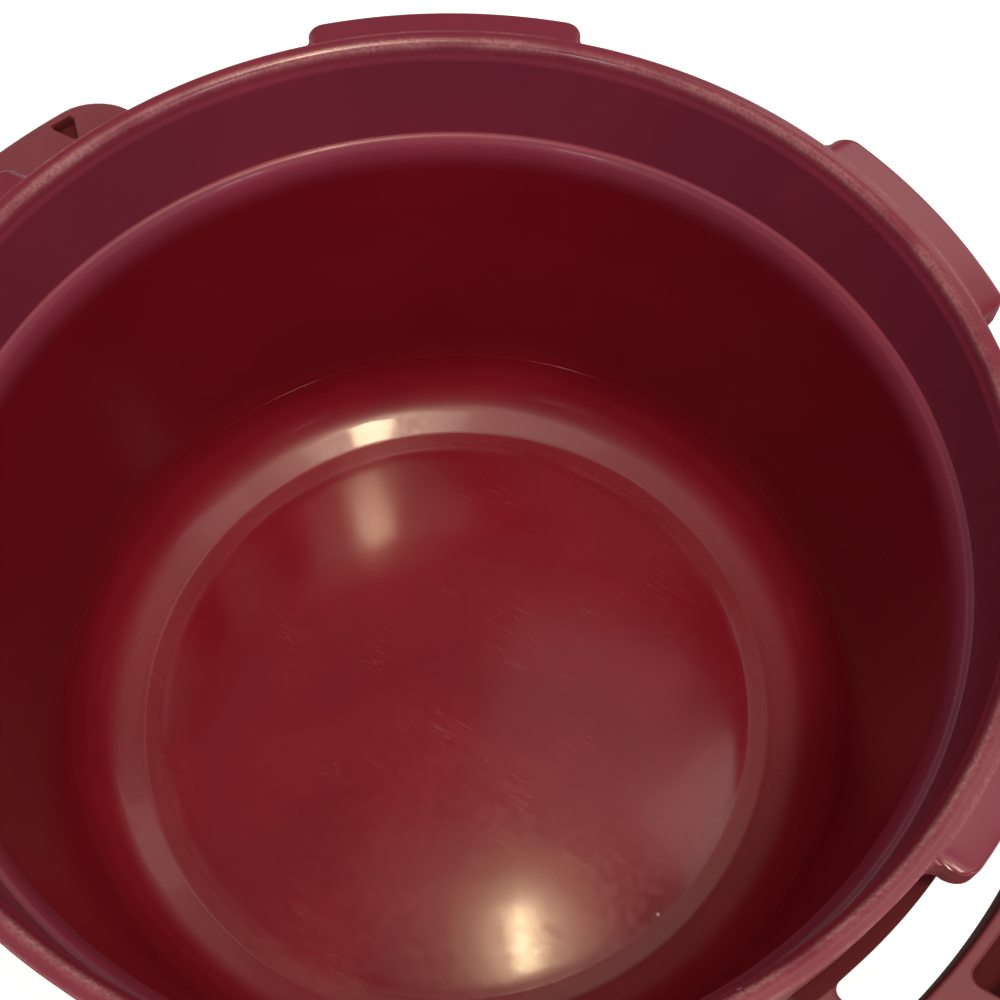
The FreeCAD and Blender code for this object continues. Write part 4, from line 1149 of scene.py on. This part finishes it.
def grip_grid(lid, turn):
    """A grip: a rounded section carried along its width, with r from the skirt to the plan's outline.

    The outline's outer corners are quarter circles, and the ends' edges are drawn in by e - sqrt(e e - d d),
    where d is how far a point is inside the last e of the width.
    """
    corner, half, soft = lid.grip_corner, lid.grip_half, lid.soft_edge
    swing = quarter(GRIP_CORNER_POINTS)
    ends = np.concatenate([half - corner * (1 - np.sin(swing)), half - soft * (1 - np.sin(swing[:-1]))])
    ends = np.unique(np.round(ends, 6))
    width = np.concatenate([-ends[::-1], np.linspace(-ends[0], ends[0], GRIP_POINTS)[1:-1], ends])
    width = np.concatenate([width[:1], width, width[-1:]])
    into = np.clip(np.abs(width) - (half - corner), 0, corner)
    depth = HANDLE_HIGH.x - corner + np.sqrt(corner ** 2 - into ** 2) - SKIRT_RADIUS
    late = np.clip(np.abs(width) - (half - soft), 0, soft)
    inset = soft - np.sqrt(soft ** 2 - late ** 2)
    full, low, top = HANDLE_HIGH.x - SKIRT_RADIUS, lid.grip_lift, lid.groove_top + lid.edge_rise
    section = rounded([
        (0, low, soft / 2),
        (full, low, soft),
        (full, top, lid.grip_round),
        (0, top, soft / 2),
    ], closed=True)
    section = supported(section, closed=True)
    radius = SKIRT_RADIUS + np.clip(section[:, :1] * depth / full, inset, depth - inset)
    height = np.clip(section[:, 1:] + 0 * width, low + inset, top - inset)
    radius[:, [0, -1]] = SKIRT_RADIUS + depth[[0, -1]] / 2
    height[:, [0, -1]] = (low + top) / 2
    x = np.sqrt(radius ** 2 - width ** 2)
    cos, sin = math.cos(turn), math.sin(turn)
    return parked(np.stack([x * cos - width * sin, x * sin + width * cos, height], axis=-1))


def nut_grid(valves, height):
    """A hexagon nut: radius min(half the flats / cos(angle from a flat's middle), a cone at each face)."""
    turn = np.linspace(0, math.tau, TURNED_COLUMNS, endpoint=False)
    flat, bore, chamfer = valves.nut_flats / 2, valves.stem_radius, valves.nut_chamfer
    hexagon = flat / np.cos((turn + NUT_STEP / 2) % NUT_STEP - NUT_STEP / 2)
    rise = np.linspace(0, height / 3, NUT_EDGE_POINTS)
    level = np.concatenate([rise, height - rise[::-1]])[:, None]
    cone = flat - chamfer + np.minimum(level, height - level) * math.sqrt(3)
    wide = bore + chamfer
    inside = np.array([(wide, height), (bore, height - chamfer), (bore, chamfer), (wide, 0)])
    radius = np.concatenate([np.minimum(hexagon, cone), inside[:, :1] + 0 * turn])
    tall = np.concatenate([level + 0 * turn, inside[:, 1:] + 0 * turn])
    return np.stack([radius * np.cos(turn), radius * np.sin(turn), tall], axis=-1)


def coil_grid(latch, tall):
    """A spring: a circle of the wire's radius carried along a helix, across the helix's own direction."""
    whole = latch.spring_turns * math.tau
    turn = np.linspace(0, whole, int(latch.spring_turns * COIL_POINTS) + 1)[:, None]
    climb = (tall - 2 * latch.spring_wire) / whole
    out = np.concatenate([np.cos(turn), np.sin(turn), 0 * turn], axis=1)
    middle = np.concatenate([latch.spring_radius * out[:, :2], latch.spring_wire + climb * turn], axis=1)
    ahead = np.concatenate([-np.sin(turn), np.cos(turn), 0 * turn + climb / latch.spring_radius], axis=1)
    ahead /= np.linalg.norm(ahead, axis=1, keepdims=True)
    across = np.cross(ahead, out)
    swing = np.linspace(0, math.tau, WIRE_POINTS, endpoint=False)[None, :, None]
    circle = np.cos(swing) * out[:, None] + np.sin(swing) * across[:, None]
    tube = middle[:, None] + latch.spring_wire * circle
    ends = [np.repeat(middle[k][None, None], WIRE_POINTS, axis=1) for k in (0, -1)]
    return np.concatenate([ends[0], tube, ends[1]])


# Operators, one for each piece or group of like pieces.

class PieceOperator:
    """What the operators share."""

    bl_options = {"REGISTER"}

    @property
    def settings(self):
        """The scene's settings."""
        return bpy.context.scene.pressure_pot


class PRESSUREPOT_OT_shell(PieceOperator, Operator):
    """Moulds the pot's shell with its rim, lugs, inner step and floor"""

    bl_idname = "pressure_pot.shell"
    bl_label = "Pot shell"

    def execute(self, context):
        dress("pot_shell", surface("pot_shell", pot_grid(self.settings.pot)), "pot_plastic")
        return {"FINISHED"}


class PRESSUREPOT_OT_handles(PieceOperator, Operator):
    """Moulds the two looped handles, the left one with its latch slot and corner recesses"""

    bl_idname = "pressure_pot.handles"
    bl_label = "Pot handles"

    def execute(self, context):
        handle, rim = self.settings.handles, self.settings.pot.rim_radius
        for node, left in (("pot_handle_right", False), ("pot_handle_left", True)):
            turn = np.array([-1, -1, 1]) if left else np.array([1, 1, 1])
            blank = surface(node, turn * handle_grid(handle, rim), ring=True)
            cutters = [surface("hollow", turn * grid) for grid in handle_cutters(handle, rim, left)]
            dress(node, bored(blank, cutters), "handle_plastic")
        return {"FINISHED"}


class PRESSUREPOT_OT_lid(PieceOperator, Operator):
    """Moulds the lid's shell with its skirt, lugs, seal groove, dome and guard ring"""

    bl_idname = "pressure_pot.lid"
    bl_label = "Lid shell"

    def execute(self, context):
        valves = self.settings.valves
        mesh = surface("lid_shell", lid_grid(self.settings.lid, valves), ring=True)
        holes = []
        for node, radius in (("pin_bush", valves.bush_neck), ("safety_plug", valves.plug_neck)):
            low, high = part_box(node)
            holes.append(rod((low + high) / 2, radius, low.z, high.z))
        dress("lid_shell", bored(mesh, holes), "lid_plastic")
        return {"FINISHED"}


class PRESSUREPOT_OT_seal(PieceOperator, Operator):
    """Moulds the silicone sealing ring with its two lips"""

    bl_idname = "pressure_pot.seal"
    bl_label = "Sealing ring"

    def execute(self, context):
        lid = self.settings.lid
        tall = extent("seal_ring")[0]
        inner = SEAL_RADIUS - lid.seal_width
        middle = SEAL_RADIUS - lid.seal_width / 2
        groove = lid.seal_width / 6
        turned("seal_ring", [
            (inner, 0, lid.seal_edge),
            (middle - groove, 0, lid.seal_edge),
            (middle, lid.seal_lip, lid.seal_edge / 2),
            (middle + groove, 0, lid.seal_edge),
            (SEAL_RADIUS, 0, lid.seal_edge),
            (SEAL_RADIUS, tall, lid.seal_edge),
            (inner, tall, lid.seal_edge),
        ], "silicone", LID_COLUMNS)
        return {"FINISHED"}


class PRESSUREPOT_OT_grips(PieceOperator, Operator):
    """Moulds the lid's two grips and bores the left one for the latch"""

    bl_idname = "pressure_pot.grips"
    bl_label = "Lid grips"

    def execute(self, context):
        lid, latch = self.settings.lid, self.settings.latch
        right = surface("lid_grip_right", grip_grid(lid, 0.0), ring=True, round_columns=False)
        dress("lid_grip_right", right, "lid_plastic")
        left = surface("lid_grip_left", grip_grid(lid, math.pi), ring=True, round_columns=False)
        low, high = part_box("latch_bolt")
        middle = (low + high) / 2
        grip_low, grip_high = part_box("lid_grip_left")
        past = latch.cap_wall
        chamber = rod(middle, latch.chamber_radius, grip_low.z - past, LID_HIGH.z - latch.chamber_floor)
        guide = rod(middle, latch.bolt_radius + latch.bolt_play, grip_low.z - past, grip_high.z + past)
        dress("lid_grip_left", bored(left, [chamber, guide]), "lid_plastic")
        return {"FINISHED"}


class PRESSUREPOT_OT_vent(PieceOperator, Operator):
    """Turns the vent's stem, gasket, nut and strainer"""

    bl_idname = "pressure_pot.vent"
    bl_label = "Vent"

    def execute(self, context):
        valves = self.settings.valves
        edge, bore, stem = valves.small_edge, valves.stem_bore, valves.stem_radius
        flange, neck, level = valves.flange_radius, valves.neck_radius, valves.flange_level
        tall = extent("vent_stem")[0]
        bead = tall - valves.bead_height
        turned("vent_stem", [
            (bore, 0, edge),
            (stem, 0, edge),
            (stem, level),
            (flange, level, edge),
            (flange, level + valves.flange_height, edge),
            (neck, level + valves.flange_height, edge),
            (neck, bead, edge),
            (stem, bead, edge),
            (stem, bead + valves.bead_height / 2, edge),
            (bore * 1.5, tall, edge),
            (bore, tall),
        ], "steel")
        thick = extent("vent_gasket")[0]
        turned("vent_gasket", [
            (stem, 0, edge),
            (flange, 0, edge),
            (flange, thick, edge),
            (stem, thick, edge),
        ], "silicone")
        low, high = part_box("vent_nut")
        grid = nut_grid(valves, high.z - low.z) + np.array([*(low + high).xy / 2, low.z])
        dress("vent_nut", surface("vent_nut", grid, ring=True), "steel")
        tall, cup = extent("vent_screen")
        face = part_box("vent_screen")[1].z
        seat, wall = tall - valves.screen_grip, valves.screen_wall
        spokes = -LOCK_TURN + np.arange(SCREEN_HOLES) * math.tau / SCREEN_HOLES
        centres = LID_AXIS.xy[:] + cup / 2 * np.stack([np.cos(spokes), np.sin(spokes)], axis=-1)
        holes = [rod(centre, valves.screen_hole, face - 2 * wall, face + wall) for centre in centres]
        turned("vent_screen", [
            (0, 0),
            (cup, 0, 2 * edge),
            (cup, tall, 2 * edge),
            (stem, tall, edge),
            (stem, seat),
            (cup - wall, seat),
            (cup - wall, wall, edge),
            (0, wall),
        ], "steel", cuts=holes)
        return {"FINISHED"}


class PRESSUREPOT_OT_regulator(PieceOperator, Operator):
    """Turns the regulator's weight and cap, and finishes its clip"""

    bl_idname = "pressure_pot.regulator"
    bl_label = "Regulator"

    def execute(self, context):
        valves = self.settings.valves
        tall, outer = extent("regulator_weight")
        inner, edge = valves.stem_radius + valves.weight_play, valves.small_edge
        turned("regulator_weight", [
            (0, tall),
            (outer, tall, edge),
            (outer, 0, 3 * edge),
            (inner, 0, edge),
            (inner, tall - valves.weight_roof, edge),
            (0, tall - valves.weight_roof),
        ], "steel")
        tall = extent("regulator_cap")[0]
        turned("regulator_cap", [
            (0, 0),
            (outer, 0, edge),
            (outer, tall / 2, 2 * edge),
            (outer - tall, tall, 2 * edge),
            (0, tall),
        ], "dark_plastic")
        coat("weight_clip", "steel")
        return {"FINISHED"}


class PRESSUREPOT_OT_valves(PieceOperator, Operator):
    """Turns the pressure pin with its cap and bush, and the safety plug"""

    bl_idname = "pressure_pot.valves"
    bl_label = "Pin and plug"

    def execute(self, context):
        valves, lid = self.settings.valves, self.settings.lid
        edge, wall = valves.small_edge, lid.wall
        lip, neck, bore = valves.bush_lip, valves.bush_neck, valves.pin_radius + valves.pin_play
        flange = extent("pin_bush")[1]
        turned("pin_bush", [
            (bore, 0, edge),
            (flange, 0, edge),
            (flange, lip, edge),
            (neck, lip, edge),
            (neck, lip + wall, edge),
            (flange, lip + wall, edge),
            (flange, 2 * lip + wall, edge),
            (bore, 2 * lip + wall, edge),
        ], "silicone")
        tall, foot = extent("pressure_pin")
        shaft = valves.pin_radius
        turned("pressure_pin", [
            (0, 0),
            (foot, 0, edge),
            (foot, foot / 3, edge),
            (shaft, foot / 3, edge),
            (shaft, tall),
            (0, tall),
        ], "steel")
        head = extent("pin_cap")[1]
        turned("pin_cap", [
            (0, 0),
            (head, 0, edge),
            (head, 0.5 * head, edge),
            (0.7 * head, 0.8 * head, edge),
            (0, 0.8 * head),
        ], "signal_red")
        flange, lip, neck = extent("safety_plug")[1], valves.plug_lip, valves.plug_neck
        turned("safety_plug", [
            (0, 0),
            (0.8 * flange, 0, edge),
            (flange, lip, edge),
            (neck, lip),
            (neck, lip + wall),
            (flange, lip + wall, edge),
            (0.8 * flange, 2 * lip + wall, edge),
            (0, 2 * lip + wall),
        ], "red_silicone")
        return {"FINISHED"}


class PRESSUREPOT_OT_latch(PieceOperator, Operator):
    """Turns the latch's bolt, knob and cap, and winds its spring"""

    bl_idname = "pressure_pot.latch"
    bl_label = "Latch"

    def execute(self, context):
        latch, edge = self.settings.latch, self.settings.valves.small_edge
        bolt, stem, collar = latch.bolt_radius, latch.stem_radius, latch.collar_level
        tall, wide = extent("latch_bolt")
        turned("latch_bolt", [
            (0, 0),
            (bolt / 2, 0, edge),
            (bolt, bolt / 2, edge),
            (bolt, collar),
            (wide, collar, edge / 2),
            (wide, collar + latch.collar_height, edge),
            (stem, collar + latch.collar_height, edge),
            (stem, tall),
            (0, tall),
        ], "steel")
        tall, knob = extent("latch_knob")
        turned("latch_knob", [
            (0, tall / 2),
            (stem, tall / 2),
            (stem, 0),
            (0.7 * knob, 0, edge),
            (knob, tall / 3, 2 * edge),
            (knob, 0.8 * tall, 2 * edge),
            (0.8 * knob, tall, 2 * edge),
            (0, tall),
        ], "dark_plastic")
        tall, outer = extent("latch_cap")
        inner, guide = latch.chamber_radius, stem + latch.bolt_play
        turned("latch_cap", [
            (inner, 0),
            (outer, 0, edge),
            (outer, tall - latch.cap_wall / 2, edge),
            (outer - latch.cap_wall / 2, tall, edge),
            (guide, tall, edge),
            (guide, tall - latch.cap_wall),
            (inner, tall - latch.cap_wall, edge),
        ], "dark_plastic")
        low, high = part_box("latch_spring")
        middle = (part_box("latch_bolt")[0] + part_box("latch_bolt")[1]) / 2
        tall = high.z - low.z
        grid = coil_grid(latch, tall) * np.array([1, 1, -1]) + np.array([*middle.xy, high.z])
        spring = dress("latch_spring", surface("latch_spring", grid), "steel")
        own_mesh(spring)
        return {"FINISHED"}


class PRESSUREPOT_OT_stage(PieceOperator, Operator):
    """Lays the floor, hangs the lights and sets the camera"""

    bl_idname = "pressure_pot.stage"
    bl_label = "Stage"

    def lamp(self, name, radiance, sides, spot, spin, shade):
        """An area light of even radiance that faces the origin: its power is radiance * pi * its area."""
        data = bpy.data.lights.new(name, "AREA")
        data.shape = "RECTANGLE"
        data.size, data.size_y = sides
        data.energy = radiance * math.pi * sides[0] * sides[1]
        data.color = shade
        light = bpy.data.objects.new(name, data)
        light.location = spot
        aimed = (-Vector(spot)).to_track_quat("-Z", "Y")
        light.rotation_euler = (aimed @ Quaternion((0, 0, 1), math.radians(spin))).to_euler()
        light.visible_camera = False
        light.visible_glossy = name not in FILLS
        bpy.context.scene.collection.objects.link(light)

    def execute(self, context):
        stage = self.settings.stage
        scene = bpy.context.scene
        scene.view_settings.view_transform = "Standard"
        mesh = surface("floor", self.floor_grid(stage))
        floor = bpy.data.objects.new("floor", mesh)
        scene.collection.objects.link(floor)
        mesh.materials.append(self.floor_finish(stage))
        self.light_world(scene, stage)
        for name, radiance, sides, spot, spin, shade in LAMPS:
            self.lamp(name, radiance * stage.light, sides, spot, spin, shade)
        data = bpy.data.cameras.new("camera")
        data.lens = stage.lens
        data.sensor_width = SENSOR_WIDTH
        camera = bpy.data.objects.new("camera", data)
        spot = Vector((stage.camera_x, stage.camera_y, stage.camera_z))
        aim = Vector((stage.aim_x, stage.aim_y, POT_HIGH.z))
        camera.location = spot
        camera.rotation_euler = (aim - spot).to_track_quat("-Z", "Y").to_euler()
        scene.collection.objects.link(camera)
        scene.camera = camera
        return {"FINISHED"}

    def floor_grid(self, stage):
        """A level floor that turns up into a round backdrop by a quarter circle of radius c.

        A point of it is at radius reach - c + c sin t and height c - c cos t.
        """
        swing = quarter(BACKDROP_POINTS)
        out = stage.floor_reach - stage.floor_corner * (1 - np.sin(swing))
        curve = np.stack([out, stage.floor_corner * (1 - np.cos(swing))], axis=-1)
        line = np.concatenate([[(0, 0)], curve, [(stage.floor_reach, stage.backdrop)]])
        return lathe(line, TURNED_COLUMNS)

    def floor_finish(self, stage):
        """A pale floor that takes shadows, with a faint even tone."""
        made, wires, shader = new_material("floor_finish")
        tone = wires.patches(wires.coordinates(), scale=3.0, detail=2.0, low=0.3, high=0.7)
        ray = wires.node("LightPath").outputs
        seen = wires.math("MAXIMUM", ray["Is Camera Ray"], ray["Is Glossy Ray"])
        shown = wires.math("MAXIMUM", seen, ray["Is Transmission Ray"])
        wires.feed(shader, {
            "Base Color": wires.clouds(tone, stage.floor_colour, 0.98),
            "Roughness": 0.7,
            "Specular IOR Level": 0.2,
            "Emission Color": rgba(WHITE),
            "Emission Strength": wires.times(shown, stage.floor_glow),
        })
        return made

    def light_world(self, scene, stage):
        """An even soft world."""
        scene.world = bpy.data.worlds.new("studio")
        scene.world.use_nodes = True
        tree = scene.world.node_tree
        Wires(tree).feed(tree.nodes["Background"], {"Color": rgba(WHITE), "Strength": stage.world})


class PRESSUREPOT_PT_panel(Panel):
    """The pieces and the stage, in the order in which they are built"""

    bl_idname = "PRESSUREPOT_PT_panel"
    bl_label = "Pressure pot"
    bl_space_type = "VIEW_3D"
    bl_region_type = "UI"
    bl_category = "Pressure pot"

    def draw(self, context):
        for operator in OPERATORS:
            self.layout.operator(operator.bl_idname)
        settings = context.scene.pressure_pot
        for group in (settings.pot, settings.handles, settings.lid, settings.valves, settings.latch,
                      settings.finish, settings.stage):
            box = self.layout.box()
            for name in group.__annotations__:
                box.prop(group, name)


OPERATORS = (
    PRESSUREPOT_OT_shell,
    PRESSUREPOT_OT_handles,
    PRESSUREPOT_OT_lid,
    PRESSUREPOT_OT_seal,
    PRESSUREPOT_OT_grips,
    PRESSUREPOT_OT_vent,
    PRESSUREPOT_OT_regulator,
    PRESSUREPOT_OT_valves,
    PRESSUREPOT_OT_latch,
    PRESSUREPOT_OT_stage,
)
SETTINGS = (PotSizes, HandleSizes, LidSizes, ValveSizes, LatchSizes, Finishes, StageSettings, PressurePot)
CLASSES = (*SETTINGS, *OPERATORS, PRESSUREPOT_PT_panel)


def register():
    """Registers the settings, operators and panel."""
    for item in CLASSES:
        bpy.utils.register_class(item)
    bpy.types.Scene.pressure_pot = PointerProperty(type=PressurePot)


def unregister():
    """Takes them away again."""
    del bpy.types.Scene.pressure_pot
    for item in reversed(CLASSES):
        bpy.utils.unregister_class(item)


def main():
    """Builds every piece and the stage."""
    register()
    for operator in OPERATORS:
        group, name = operator.bl_idname.split(".")
        getattr(getattr(bpy.ops, group), name)()
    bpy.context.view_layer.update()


if __name__ == "__main__":
    main()
